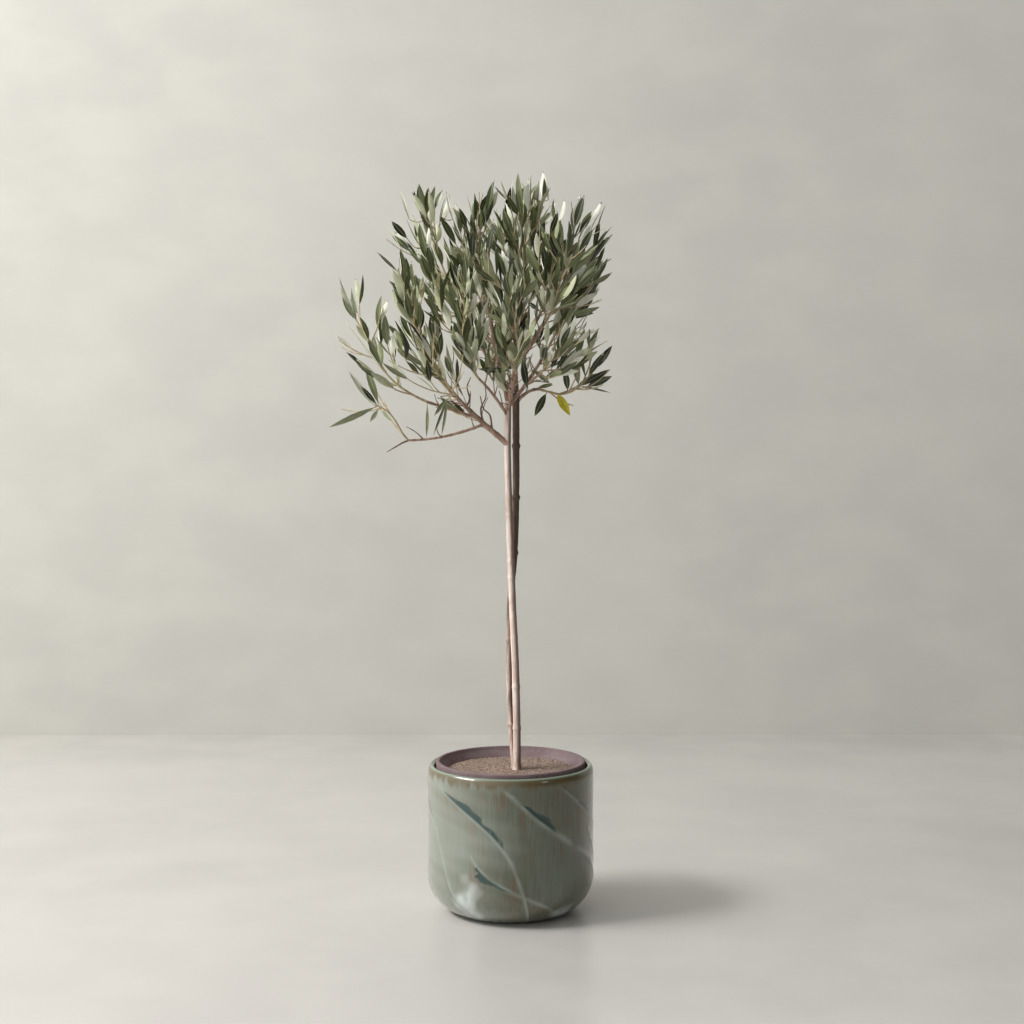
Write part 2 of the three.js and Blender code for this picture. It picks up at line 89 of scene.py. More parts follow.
# Each bough: the limb that it leaves, the height there, its tip, its radii at both ends and its rise.
BOUGHS = {
    "bough_left": ("stem_front", 765, (-99, -24, 852), (4.9, 2.7), -3),
    "bough_left_front": ("bough_left", 815, (-86, -74, 843), (2.2, 1.9), -2),
    "bough_left_low": ("bough_left", 797, (-164, -34, 771), (2.5, 1.7), -6),
    "bough_left_sweep": ("bough_left", 806, (-134, -44, 833), (2.6, 2.1), 0),
    "bough_left_inner": ("stem_front", 809, (-50, -48, 869), (2.5, 1.9), 4),
    "bough_leader": ("stem_front", 835.3, (-33, -4, 965), (4.2, 2.8), -4),
    "bough_left_high": ("bough_leader", 863, (-62, 2, 947), (3, 2.3), -2),
    "bough_riser": ("stem_front", 829, (17, -30, 962), (3.3, 2.3), -8),
    "bough_riser_right": ("bough_riser", 912, (52, -40, 982), (2.2, 1.9), -4),
    "bough_front_right": ("bough_riser", 887, (54, -84, 957), (2.2, 1.9), -4),
    "bough_right": ("stem_front", 825, (60, 4, 919), (3.2, 2.3), -6),
    "bough_right_inner": ("bough_right", 855, (46, -58, 877), (2.2, 1.9), 0),
    "bough_right_low": ("stem_back", 831, (46, 8, 853), (3, 2.2), 6),
    "bough_leader_back": ("stem_back", 849.3, (6, 34, 972), (3.8, 2.6), 0),
    "bough_back_left": ("bough_leader_back", 887, (-48, 70, 952), (2.8, 2.2), -3),
    "bough_back_right": ("bough_leader_back", 902, (52, 70, 959), (2.8, 2.2), -3),
    "bough_back_low": ("stem_back", 819, (-22, 72, 869), (2.6, 2), 2),
    "bough_front_low": ("stem_front", 817, (8, -66, 877), (2.6, 2), 2),
}
BOUGH_STEPS = 5

# Each mass of foliage: its bough, the place that its stem grows to, its reach, its twigs and its seed.
MASSES = {
    "leaves_left_side": ("bough_left", (-166, -10, 1019), 64, 6, 101),
    "leaves_left_front": ("bough_left_front", (-146, -104, 915), 66, 6, 199),
    "leaves_trail": ("bough_left_low", (-230, -44, 824), 74, 4, 135),
    "leaves_left_long": ("bough_left_sweep", (-246, -50, 984), 54, 6, 288),
    "leaves_front_left": ("bough_left_inner", (-66, -98, 1007), 70, 6, 148),
    "leaves_top_left": ("bough_left_high", (-136, -2, 1126), 76, 6, 136),
    "leaves_top_middle": ("bough_leader", (-58, -30, 1121), 72, 6, 198),
    "leaves_top": ("bough_riser", (20, -36, 1143), 70, 6, 26),
    "leaves_top_right": ("bough_riser_right", (102, -42, 1111), 72, 6, 161),
    "leaves_right": ("bough_right", (108, 26, 1049), 60, 6, 286),
    "leaves_right_inner": ("bough_right_inner", (86, -92, 935), 64, 6, 50),
    "leaves_right_low": ("bough_right_low", (136, 6, 885), 56, 6, 66),
    "leaves_top_back": ("bough_leader_back", (14, 62, 1127), 74, 6, 140),
    "leaves_back_left": ("bough_back_left", (-94, 98, 1057), 76, 6, 60),
    "leaves_back_right": ("bough_back_right", (98, 98, 1047), 76, 6, 185),
    "leaves_back_low": ("bough_back_low", (-20, 134, 947), 70, 5, 183),
    "leaves_front": ("bough_front_low", (-8, -112, 1027), 66, 6, 200),
    "leaves_front_right": ("bough_front_right", (84, -108, 1057), 72, 6, 107),
}
MASS_STEM = {"steps": 5, "straight": 2, "bend": 0.45, "bare": 28}
TWIG = {
    "steps": 2,
    "radius": 1.8,
    "length": 88,
    "spread": (0.8, 1.2),
    "shorter": 0.35,
    "shortest": 30,
    "first": 0.1,
    "last": 0.95,
    "angle": 0.85,
    "jitter": 0.6,
    "lift": 0.55,
    "bare": 16,
    "tries": 6,
    "retry_turn": 1.1,
    "retry_length": 0.88,
}
SPACE_MARGIN = 1.6
LIMB_MARGIN = 1
GOLDEN_ANGLE = math.pi * (3 - math.sqrt(5))

# ---- What only the dressing has, in millimetres and radians ----------------------------------------

SHOOT_STEPS = 4  # along a fine shoot
FINE_SEED = 1000  # added to a mass's own seed for its finer shoots and leaves
TWIGLET = {
    "length": (36, 64),
    "shares": (0.32, 0.6, 0.86),
    "angle": 0.6,
    "lift": 0.5,
    "radius": 0.9,
    "bare": 5,
}
# The boughs' own leafy shoots, low in the crown.
BOUGH_SHOOT = {
    "length": (30, 54),
    "shares": (0.45, 0.64, 0.83),
    "angle": 0.85,
    "lift": 0.6,
    "rise": 12,
    "bare": 8,
}
# The bare spurs on each bough.
SPUR = {
    "each": 3,
    "length": (22, 46),
    "first": 0.35,
    "jitter": 0.5,
    "last": 0.96,
    "angle": 1.0,
    "lift": 0.3,
    "elbow": 0.5,
    "radii": (0.95, 0.5),
    "seed": 77,
}
# The stalk of a leaf that is placed off its shoot.
STALK = {"shortest": 0.5, "sag": 0.35}
LEAF = {
    "length": 62,
    "spread": (0.74, 1.14),
    "tip_length": 0.86,
    "half_width": 6.6,
    "spacing": 23.5,
    "stagger": 3,
    "angle": (0.2, 0.66),
    "tip_angle": 0.22,
    "roll": 0.8,
    "turn": math.pi / 2,
    "turn_jitter": 0.35,
    "lift": 0.22,
    "younger": 0.25,  # how much shorter the last pair of a shoot is
    "slim": 0.82,
    "stout": 0.36,  # added to the slimmest share of a leaf's width
    "widening": 0.7,
    "tested": (0.35, 0.6, 0.8, 1.0),
    "apart": 3.4,
    "overlap": 14,
}
TIP_SHARE = 0.98
# How a blade bends: each value either way, and the curl and the fold on top of a least one.
BLADE = {"curl": 0.16, "droop": 0.06, "sweep": 0.09, "twist": 0.55, "fold": 0.12, "fold_more": 0.4}

# The main shoots of the masses that show their whole course.
DRAWN_SHOOTS = {
    "leaves_trail": [
        (-164, -34, 771),
        (-173, -38, 782),
        (-181, -41, 797),
        (-191, -44, 812),
        (-203, -47, 822),
        (-216, -49, 828),
    ],
    "leaves_left_long": [
        (-134, -44, 833),
        (-158, -50, 845),
        (-181, -56, 861),
        (-203, -60, 885),
        (-217, -62, 912),
        (-229, -63, 938),
        (-245, -64, 963),
    ],
    "leaves_right_low": [
        (46, 8, 853),
        (64, 6, 848),
        (81, 3, 845),
        (98, 0, 849),
        (110, -2, 857),
        (123, -5, 870),
        (137, -8, 886),
    ],
}

# How full a mass is: the twiglets on each twig, how much further apart its leaves stand, the share of its
# reach that it fills, and whether its bough and its main shoot bear leaves of their own.
FULL = {"twiglets": 3, "apart": 1.0, "reach": 1.0, "low_shoots": True, "main_shoot": True}
PLACED = {"reach": 0.62, "low_shoots": False, "main_shoot": False}
OPEN_MASSES = {
    "leaves_trail": PLACED | {"twiglets": 0, "apart": 2.4},
    "leaves_right_low": PLACED | {"twiglets": 1, "apart": 1.5},
    "leaves_left_long": {"twiglets": 1, "apart": 1.8, "low_shoots": False},
    "leaves_left_front": {"twiglets": 2, "apart": 1.6, "low_shoots": False},
    "leaves_left_side": {"apart": 1.2},
    "leaves_top_left": {"apart": 1.25},
    "leaves_top_right": {"reach": 0.84},
    "leaves_right": {"apart": 1.1, "reach": 0.84},
}

STRAY_SEED = 9
STRAY_ROLL = 0.4
# Single leaves that hang or reach out of the crown: root, tip, half width and tint.
STRAY_LEAVES = {
    "leaves_trail": [
        ((-214, -48, 825), (-288, -62, 795), 5.2, "grey"),
        ((-216, -48, 826), (-261, -56, 878), 5.0, "silver"),
        ((-211, -46, 829), (-229, -44, 892), 5.6, "fresh"),
        ((-213, -50, 828), (-235, -72, 858), 3.6, "dark"),
        ((-207, -48, 820), (-187, -60, 803), 3.0, "grey"),
        ((-211, -48, 821), (-223, -40, 801), 3.6, "grey"),
    ],
    "leaves_left_long": [
        ((-133, -48, 829), (-131, -52, 777), 2.6, "grey"),
        ((-204, -62, 885), (-258, -84, 960), 2.4, "silver"),
        ((-245, -66, 965), (-270, -80, 1027), 3.6, "silver"),
    ],
    "leaves_left_front": [
        ((-101, -60, 838), (-106, -68, 780), 2.4, "grey"),
        ((-100, -62, 838), (-124, -50, 778), 2.2, "dark"),
        ((-101, -64, 838), (-120, -76, 812), 3.4, "fresh"),
    ],
    "leaves_front": [
        ((18, -60, 900), (31, -74, 853), 7.0, "dark"),
        ((0, -64, 882), (-50, -72, 884), 4.2, "dark"),
        ((34, -40, 884), (66, -52, 864), 4.0, "grey"),
    ],
    "leaves_right_inner": [
        ((64, -46, 884), (80, -60, 922), 4.4, "dark"),
        ((70, -52, 880), (100, -70, 925), 4.0, "dark"),
    ],
    "leaves_right_low": [
        ((58, 5, 847), (38, -8, 811), 6.2, "dusky"),
        ((75, 2, 847), (94, -14, 812), 7.0, "yellow"),
        ((44, 4, 856), (69, -20, 860), 3.8, "fresh"),
        ((112, 0, 858), (165, 8, 850), 1.6, "dark"),
        ((92, 2, 850), (90, -26, 886), 5.4, "dark"),
        ((137, -8, 886), (165, -10, 922), 5.6, "dark"),
        ((125, -6, 874), (147, -20, 914), 5.4, "dusky"),
        ((116, -4, 862), (161, -16, 882), 5.0, "dark"),
        ((121, -6, 870), (109, -2, 930), 3.4, "dusky"),
        ((110, -4, 858), (100, -24, 912), 6.2, "grey"),
        ((75, -30, 933), (114, -36, 944), 4.8, "dark"),
    ],
    "leaves_top_left": [
        ((-163, -6, 1125), (-176, -12, 1168), 2.6, "silver"),
        ((-144, -4, 1128), (-143, -10, 1171), 4.0, "dusky"),
        ((-138, 0, 1128), (-118, -6, 1176), 4.6, "fresh"),
        ((-165, -14, 1093), (-191, -20, 1120), 5.4, "dark"),
    ],
    "leaves_left_side": [
        ((-181, -8, 1041), (-214, -14, 1073), 2.6, "dark"),
        ((-169, -24, 1016), (-171, -30, 1076), 6.0, "fresh"),
        ((-169, -30, 1003), (-193, -36, 1025), 3.4, "dark"),
    ],
    "leaves_top_middle": [
        ((-92, -30, 1123), (-106, -36, 1164), 2.4, "silver"),
        ((-39, -50, 1106), (-53, -56, 1155), 4.0, "dusky"),
    ],
    "leaves_top": [
        ((-4, -40, 1151), (-14, -46, 1182), 2.6, "silver"),
        ((22, -20, 1150), (41, -26, 1182), 1.8, "silver"),
    ],
    "leaves_top_right": [
        ((60, -30, 1154), (54, -36, 1183), 2.8, "silver"),
        ((121, -40, 1056), (161, -46, 1099), 4.0, "grey"),
        ((118, -30, 1063), (163, -36, 1109), 2.0, "dusky"),
    ],
    "leaves_right": [
        ((126, 0, 1041), (163, -6, 1062), 1.8, "grey"),
        ((129, -10, 1020), (162, -16, 1040), 4.8, "grey"),
        ((93, -20, 971), (143, -26, 980), 5.6, "grey"),
    ],
}

# Bare twigs, dead at the tip.
BARE_TWIGS = [
    [(-164, -34, 771), (-172, -36, 768), (-184, -38, 761), (-198, -40, 753)],
    [(-72, -17, 823), (-66, -20, 838), (-70, -24, 856), (-64, -28, 872)],
    [(-45, -11, 801), (-48, -16, 822), (-40, -22, 840), (-41, -22, 858)],
    [(-30, -9, 788), (-34, -14, 812), (-44, -18, 822), (-49, -20, 842)],
]

# ---- Growing: the source's rule --------------------------------------------------------------------

UP = np.array((0.0, 0.0, 1.0))
EAST = np.array((1.0, 0.0, 0.0))
STEEP = 0.9  # the rise of a direction that counts as upright


def seeded_random(seed):
    """A seeded source of numbers from 0 to 1 (mulberry32)."""
    mask = 0xFFFFFFFF
    state = seed & mask

    def draw():
        nonlocal state
        state = (state + 0x6D2B79F5) & mask
        t = ((state ^ (state >> 15)) * (state | 1)) & mask
        t ^= (t + ((t ^ (t >> 7)) * (t | 61) & mask)) & mask
        return (t ^ (t >> 14)) / (mask + 1)

    return draw


def between(random, ends):
    return ends[0] + (ends[1] - ends[0]) * random()


def either_way(random, most):
    return 2 * most * (random() - 0.5)


def unit(v):
    return v / math.sqrt(v @ v)


def turned_about(v, axis, angle):
    """A vector turned round a unit axis."""
    cos, sin = math.cos(angle), math.sin(angle)
    return v * cos + np.cross(axis, v) * sin + axis * (axis @ v) * (1 - cos)


def leaning(axis, side, angle):
    """A direction that leans from an axis towards a side."""
    return axis * math.cos(angle) + side * math.sin(angle)


def square_to(axis, turn):
    """A direction square to an axis, turned round it."""
    level = EAST if abs(axis[2]) > STEEP else UP
    return turned_about(unit(np.cross(axis, level)), axis, turn)


def segments_of(paths):
    """The starts and spans of all the paths' segments, and where each path's own begin."""
    starts = np.concatenate([path[:-1] for path in paths])
    spans = np.concatenate([np.diff(path, axis=0) for path in paths])
    firsts = np.cumsum([0] + [len(path) - 1 for path in paths[:-1]])
    return starts, spans, firsts


def distances(point, segments):
    """How far a point lies from each path."""
    starts, spans, firsts = segments
    share = ((point - starts) * spans).sum(1) / (spans * spans).sum(1)
    away = point - starts - np.clip(share, 0, 1)[:, None] * spans
    return np.sqrt(np.minimum.reduceat((away * away).sum(1), firsts))


def bezier(a, b, c, steps):
    t = np.linspace(0, 1, steps + 1)[:, None]
    return (1 - t) ** 2 * a + 2 * t * (1 - t) * b + t * t * c


def through(points, share):
    """A place on the smooth centripetal curve through some points, by share of its number of spans."""
    last = len(points) - 1
    span = min(int(share * last), last - 1)
    weight = share * last - span
    b, c = points[span], points[span + 1]
    a = points[span - 1] if span > 0 else 2 * b - c
    d = points[span + 2] if span + 2 <= last else 2 * c - b
    ab, bc, cd = (math.sqrt(math.dist(*pair)) for pair in ((a, b), (b, c), (c, d)))
    leaving = ((b - a) / ab - (c - a) / (ab + bc) + (c - b) / bc) * bc
    arriving = ((c - b) / bc - (d - b) / (bc + cd) + (d - c) / cd) * bc
    square, cube = weight**2, weight**3
    return (
        b
        + leaving * weight
        + (3 * (c - b) - 2 * leaving - arriving) * square
        + (2 * (b - c) + leaving + arriving) * cube
    )


def stem_axis(stem):
    """A stem's own smooth axis, as a function of height."""
    foot, top = SOIL["top"] + GAP, stem["top"]
    steps = len(stem["course"]) - 1
    points = [np.array((x, y, foot + i / steps * (top - foot))) for i, (x, y) in enumerate(stem["course"])]

    def at(height):
        place = through(points, (height - foot) / (top - foot))
        return np.array((place[0], place[1], height))

    return at


def stem_path(stem):
    """The places of a stem's rings in the solids."""
    foot, top, nodes = SOIL["top"] + GAP, stem["top"], stem["nodes"]
    heights = [foot, top] + [foot + rise for rise in FOOT_RINGS]
    for node in nodes:
        heights += [node - NODE_HALF_HEIGHT, node, node + NODE_HALF_HEIGHT]
    height = foot + STEM_RING_SPACING
    while height < top - STEM_RING_SPACING / 3:
        if all(abs(node - height) > 3 * NODE_HALF_HEIGHT for node in nodes):
            heights.append(height)
        height += STEM_RING_SPACING
    at = stem_axis(stem)
    return np.array([at(height) for height in sorted(heights)])


def at_height(path, height):
    """The point of a limb's axis at a height."""
    for a, b in zip(path[:-1], path[1:]):
        if a[2] <= height <= b[2]:
            return a + (b - a) * (height - a[2]) / (b[2] - a[2])
    return np.array((path[-1][0], path[-1][1], height))


def limb_paths():
    """The axis of every stem and bough, and the radius that leaves keep clear of."""
    paths = {name: stem_path(stem) for name, stem in STEMS.items()}
    roots = {name: stem["clear_radius"] for name, stem in STEMS.items()}
    for name, (parent, height, tip, radii, rise) in BOUGHS.items():
        start, end = at_height(paths[parent], height), np.array(tip, float)
        middle = (start + end) / 2 + UP * 2 * rise
        paths[name] = bezier(start, middle, end, BOUGH_STEPS)
        roots[name] = radii[0]
    return paths, roots


def mass_stem_path(bough_path, top):
    """The way of a mass's stem, on from its bough's tip to the mass's top."""
    heading = unit(bough_path[-1] - bough_path[-2])
    start, goal = bough_path[-1] + heading * GAP, np.array(top, float)
    bend = start + heading * MASS_STEM["bend"] * math.dist(start, goal)
    path = bezier(start, bend, goal, MASS_STEM["steps"])
    return np.insert(path, 1, start + heading * MASS_STEM["straight"], axis=0)


def along_path(path, share):
    """A place along a path, by share of its number of steps, with the direction there."""
    steps = len(path) - 1
    step = min(int(share * steps), steps - 1)
    a, b = path[step], path[step + 1]
    return a + (b - a) * (share * steps - step), unit(b - a)


class Space:
    """The room of one mass: nearer to its own stem than to any other's, and clear of the limbs."""

    def __init__(self, name, stem_paths, limbs, roots):
        self.reach = MASSES[name][2]
        self.own = list(stem_paths).index(name)
        self.stems = segments_of(list(stem_paths.values()))
        self.limbs = segments_of(list(limbs.values()))
        self.widths = np.array([roots[limb] for limb in limbs])
        self.margin = SPACE_MARGIN

    def holds(self, point, half_width):
        to_stems = distances(point, self.stems)
        own = to_stems[self.own]
        to_stems[self.own] = math.inf
        if own > self.reach or to_stems.min() < own + self.margin:
            return False
        return bool((distances(point, self.limbs) > self.widths + half_width + LIMB_MARGIN).all())


def grow_twig(stem, share, turn, random, space):
    """A side twig leaves its stem at an angle and turns up. None where it finds no room."""
    point, axis = along_path(stem, share)
    length = TWIG["length"] * (1 - TWIG["shorter"] * share) * between(random, TWIG["spread"])
    for attempt in range(TWIG["tries"]):
        side = square_to(axis, turn + attempt * TWIG["retry_turn"])
        heading = leaning(axis, side, TWIG["angle"])
        risen = unit(heading + UP * TWIG["lift"])
        bend = point + heading * 0.5 * length
        path = bezier(point, bend, bend + risen * 0.5 * length, TWIG["steps"])
        if length > TWIG["shortest"] and all(space.holds(p, TWIG["radius"]) for p in path[1:]):
            return bezier(point, bend, path[-1], SHOOT_STEPS * TWIG["steps"])
        length *= TWIG["retry_length"]
    return None


def grow_twigs(name, stem, space):
    """The side twigs of a mass, as its solid has them."""
    count, seed = MASSES[name][3:]
    random = seeded_random(seed)
    twigs = []
    for k in range(count):
        share = TWIG["first"] + (TWIG["last"] - TWIG["first"]) * ((k + 0.5) / count)
        twig = grow_twig(stem, share, k * GOLDEN_ANGLE + TWIG["jitter"] * random(), random, space)
        if twig is not None:
            twigs.append(twig)
    return twigs


# ---- Growing: finer twigs and leaves ---------------------------------------------------------------


def grow_twiglets(twig, most, random, space):
    """Short shoots that rise from a twig on alternate sides."""
    twiglets = []
    turn = 2 * math.pi * random()
    for share in TWIGLET["shares"][:most]:
        point, axis = along_path(twig, share)
        length = between(random, TWIGLET["length"])
        turn += GOLDEN_ANGLE
        side = square_to(axis, turn)
        heading = unit(leaning(axis, side, TWIGLET["angle"]))
        middle = point + heading * 0.5 * length
        end = middle + unit(heading + UP * TWIGLET["lift"]) * 0.5 * length
        path = bezier(point, middle, end, SHOOT_STEPS)
        if all(space.holds(p, TWIGLET["radius"]) for p in path[1:]):
            twiglets.append(path)
    return twiglets


def grow_bough_shoots(bough, random, space):
    """Short leafy shoots on the outer half of a bough."""
    shoots = []
    turn = 2 * math.pi * random()
    for share in BOUGH_SHOOT["shares"]:
        point, axis = along_path(bough, share)
        turn += GOLDEN_ANGLE
        side = square_to(axis, turn)
        heading = leaning(axis, side, BOUGH_SHOOT["angle"])
        risen = unit(heading + UP * BOUGH_SHOOT["lift"])
        length = between(random, BOUGH_SHOOT["length"])
        middle = point + heading * 0.5 * length
        shoots.append(bezier(point, middle, middle + risen * 0.5 * length, SHOOT_STEPS))
    rising = [shoot for shoot in shoots if shoot[-1][2] > shoot[0][2] + BOUGH_SHOOT["rise"]]
    return [shoot for shoot in rising if distances(shoot[-1], space.stems)[space.own] < space.reach]


def stalk_to(root, carriers):
    """A thin stalk to a leaf's root from the nearest limb or twig."""
    nearest, least = root, math.inf
    for path in carriers:
        spans = np.diff(path, axis=0)
        share = ((root - path[:-1]) * spans).sum(1) / (spans * spans).sum(1)
        feet = path[:-1] + np.clip(share, 0, 1)[:, None] * spans
        away = np.sqrt(((root - feet) ** 2).sum(1))
        if away.min() < least:
            nearest, least = feet[away.argmin()], away.min()
    if least < STALK["shortest"]:
        return None
    return bezier(nearest, (nearest + root) / 2 - UP * STALK["sag"] * least, root, SHOOT_STEPS)


def grow_spurs(limbs):
    """Short bare spurs along the boughs."""
    random = seeded_random(SPUR["seed"])
    spurs = []
    for name in BOUGHS:
        for k in range(SPUR["each"]):
            share = (k + SPUR["first"] + SPUR["jitter"] * random()) / SPUR["each"] * SPUR["last"]
            point, axis = along_path(limbs[name], share)
            side = square_to(axis, 2 * math.pi * random())
            heading = unit(leaning(axis, side, SPUR["angle"]) + UP * SPUR["lift"])
            heading[2] = abs(heading[2])
            length = between(random, SPUR["length"])
            elbow = point + heading * 0.5 * length
            bent = unit(heading + square_to(heading, 2 * math.pi * random()) * SPUR["elbow"])
            spurs.append(bezier(point, elbow, elbow + bent * 0.5 * length, SHOOT_STEPS))
    return spurs


class Foliage:
    """The leaves of the whole crown, kept apart from each other."""

    def __init__(self):
        self.leaves = {name: [] for name in MASSES}
        self.midribs = np.empty((0, 2, 3))

    def fits(self, root, along, length, space):
        half_width = LEAF["half_width"] * length / LEAF["length"]
        for share in LEAF["tested"]:
            point = root + along * share * length
            if not space.holds(point, half_width):
                return False
            if len(self.midribs):
                starts, spans = self.midribs[:, 0], self.midribs[:, 1] - self.midribs[:, 0]
                if distances(point, (starts, spans, np.arange(len(starts)))).min() < LEAF["apart"]:
                    return False
        return True

    def keep(self, name, root, along, across, length, half_width, spray, random, tint=None):
        """Adds a leaf. One with a tint of its own belongs to no spray."""
        ends = root + along * length / 3, root + along * length
        self.midribs = np.append(self.midribs, [ends], axis=0)
        self.leaves[name].append(
            {
                "root": root,
                "along": along,
                "across": across,
                "length": length,
                "half_width": half_width,
                "curl": either_way(random, BLADE["curl"]) + BLADE["droop"],
                "sweep": either_way(random, BLADE["sweep"]),
                "twist": either_way(random, BLADE["twist"]),
                "fold": BLADE["fold"] + BLADE["fold_more"] * random(),
                "tone": random() if tint is None else STRAY_TONES[tint],
                "spray": spray if tint is None else -1,
            }
        )

    def add(self, name, space, point, axis, side, angle, length, spray, random):
        """Adds a leaf that leans from its shoot, where it finds room."""
        along = unit(leaning(axis, side, angle) + UP * LEAF["lift"])
        across = np.cross(axis, side)
        across = unit(across - along * (across @ along))
        across = turned_about(across, along, either_way(random, LEAF["roll"]))
        slim = LEAF["slim"] + LEAF["stout"] * random()
        if self.fits(point, along, length, space):
            half_width = LEAF["half_width"] * (length / LEAF["length"]) ** LEAF["widening"] * slim
            self.keep(name, point, along, across, length, half_width, spray, random)

    def add_strays(self, random):
        """The leaves that are placed one by one."""
        for name, strays in STRAY_LEAVES.items():
            for root, tip, half_width, tint in strays:
                root, tip = np.array(root, float), np.array(tip, float)
                along = unit(tip - root)
                across = unit(np.cross(np.cross(UP, EAST), along))
                across = turned_about(across, along, either_way(random, STRAY_ROLL))
                self.keep(name, root, along, across, math.dist(root, tip), half_width, 0, random, tint)

    def clothe(self, name, space, twig, bare, spacing, spray, random):
        """Opposite pairs of leaves along a twig, each pair turned a quarter from the last."""
        reach = np.sqrt((np.diff(twig, axis=0) ** 2).sum(1)).sum()
        pairs = max(1, int((reach - bare) / spacing))
        turn = 2 * math.pi * random()
        for pair in range(pairs):
            young = 1 - LEAF["younger"] * (pair + 1) / pairs
            for way in (0, 1):
                reached = bare + (pair + 0.5) * spacing + way * LEAF["stagger"]
                point, axis = along_path(twig, min(reached / reach, TIP_SHARE))
                side = square_to(axis, turn + way * math.pi)
                length = LEAF["length"] * between(random, LEAF["spread"]) * young
                angle = between(random, LEAF["angle"]) * young
                self.add(name, space, point, axis, side, angle, length, spray, random)
            turn += LEAF["turn"] + either_way(random, LEAF["turn_jitter"])
        point, axis = along_path(twig, TIP_SHARE)
        for way in (0, 1):
            side = square_to(axis, turn + way * math.pi)
            length = LEAF["length"] * LEAF["tip_length"] * between(random, LEAF["spread"])
            self.add(name, space, point, axis, side, LEAF["tip_angle"], length, spray, random)


def grow_shoots(name, stem, limbs, space, habit, random):
    """A mass's twigs and its finer shoots, with every leafy shoot and its bare length."""
    twigs = grow_twigs(name, stem, space)
    space.margin = -LEAF["overlap"]
    space.reach *= habit["reach"]
    leafy = [(twig, TWIG["bare"]) for twig in twigs]
    if habit["main_shoot"]:
        leafy.insert(0, (stem, MASS_STEM["bare"]))
    fine = []
    for twig, _ in leafy:
        fine += grow_twiglets(twig, habit["twiglets"], random, space)
    leafy += [(twiglet, TWIGLET["bare"]) for twiglet in fine]
    if habit["low_shoots"]:
        low = grow_bough_shoots(limbs[MASSES[name][0]], random, space)
        leafy += [(shoot, BOUGH_SHOOT["bare"]) for shoot in low]
        fine += low
    return twigs, fine, leafy


def grow_stalks(limbs, masses):
    """The stalks of the placed leaves, each from the nearest wood."""
    carriers = list(limbs.values())
    for mass in masses.values():
        carriers += [mass["stem"]] + mass["twigs"] + mass["fine"]
    roots = [np.array(leaf[0], float) for strays in STRAY_LEAVES.values() for leaf in strays]
    stalks = [stalk_to(root, carriers) for root in roots]
    return [stalk for stalk in stalks if stalk is not None]


def grow_tree():
    """Every limb, twig and leaf of the plant."""
    limbs, roots = limb_paths()
    stem_paths = {name: mass_stem_path(limbs[MASSES[name][0]], MASSES[name][1]) for name in MASSES}
    foliage = Foliage()
    foliage.add_strays(seeded_random(STRAY_SEED))
    masses = {}
    for name, stem in stem_paths.items():
        space = Space(name, stem_paths, limbs, roots)
        random = seeded_random(FINE_SEED + MASSES[name][4])
        habit = FULL | OPEN_MASSES.get(name, {})
        if name in DRAWN_SHOOTS:
            stem = np.array(DRAWN_SHOOTS[name], float)
        twigs, fine, leafy = grow_shoots(name, stem, limbs, space, habit, random)
        for spray, (shoot, bare) in enumerate(leafy):
            foliage.clothe(name, space, shoot, bare, habit["apart"] * LEAF["spacing"], spray, random)
        masses[name] = {"stem": stem, "twigs": twigs, "fine": fine, "leaves": foliage.leaves[name]}
    return limbs, masses, grow_stalks(limbs, masses)


# ---- Making meshes ---------------------------------------------------------------------------------


def add_object(name, mesh, materials, slot, replaced=()):
    """A finished piece of the object, in place in its own mesh."""
    piece = bpy.data.objects.new(name, mesh)
    bpy.context.scene.collection.objects.link(piece)
    for material in materials:
        mesh.materials.append(material)
    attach(piece, "root")
    if replaced:
        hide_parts(*replaced)


def lathe(name, profile, sides, shift=None):
    """A turned surface. `profile` runs from axis to axis in (radius, height); both ends close there."""
    rings = profile[1:-1]
    turns = np.arange(sides) * 2 * math.pi / sides
    radii = np.repeat(rings[:, 0][:, None], sides, axis=1)
    if shift is not None:
        radii = radii + shift
    heights = np.repeat(rings[:, 1][:, None], sides, axis=1)
    points = np.stack((radii * np.cos(turns), radii * np.sin(turns), heights), axis=2).reshape(-1, 3)
    ends = [[0, 0, profile[0, 1]], [0, 0, profile[-1, 1]]]
    vertices = np.concatenate((points, ends)) * MM
    a = np.arange((len(rings) - 1) * sides)
    b = a + 1 - sides * ((a % sides) == sides - 1)
    faces = np.stack((a, b, b + sides, a + sides), axis=1).tolist()
    low, high = len(points), len(points) + 1
    last = (len(rings) - 1) * sides
    for k in range(sides):
        after = (k + 1) % sides
        faces.append((low, after, k))
        faces.append((high, last + k, last + after))
    mesh = bpy.data.meshes.new(name)
    mesh.from_pydata(vertices.tolist(), [], faces)
    mesh.shade_smooth()
    return mesh


def arc(centre, semi, start, end, steps):
    """Points of an ellipse's arc in (radius, height), from one angle to another in degrees."""
    angles = np.radians(np.linspace(start, end, steps + 1))
    return np.stack((centre[0] + semi[0] * np.cos(angles), centre[1] + semi[1] * np.sin(angles)), axis=1)


def line(a, b, steps):
    """Evenly spaced points from a to b, without b."""
    t = np.arange(steps)[:, None] / steps
    return np.array(a, float) * (1 - t) + np.array(b, float) * t


# ---- Shared material groups ------------------------------------------------------------------------


def new_group(name, kind, inputs, outputs):
    tree = bpy.data.node_groups.new(name, kind)
    for label, socket, value in inputs:
        made = tree.interface.new_socket(label, in_out="INPUT", socket_type=socket)
        if value is not None:
            made.default_value = value
    for label, socket in outputs:
        tree.interface.new_socket(label, in_out="OUTPUT", socket_type=socket)
    source = tree.nodes.new("NodeGroupInput")
    sink = tree.nodes.new("NodeGroupOutput")
    return tree, source, sink


def add_node(tree, kind, values=None, **settings):
    """A node with its settings and the values of its unlinked inputs."""
    node = tree.nodes.new(kind)
    for key, value in settings.items():
        setattr(node, key, value)
    for key, value in (values or {}).items():
        node.inputs[key].default_value = value
    return node


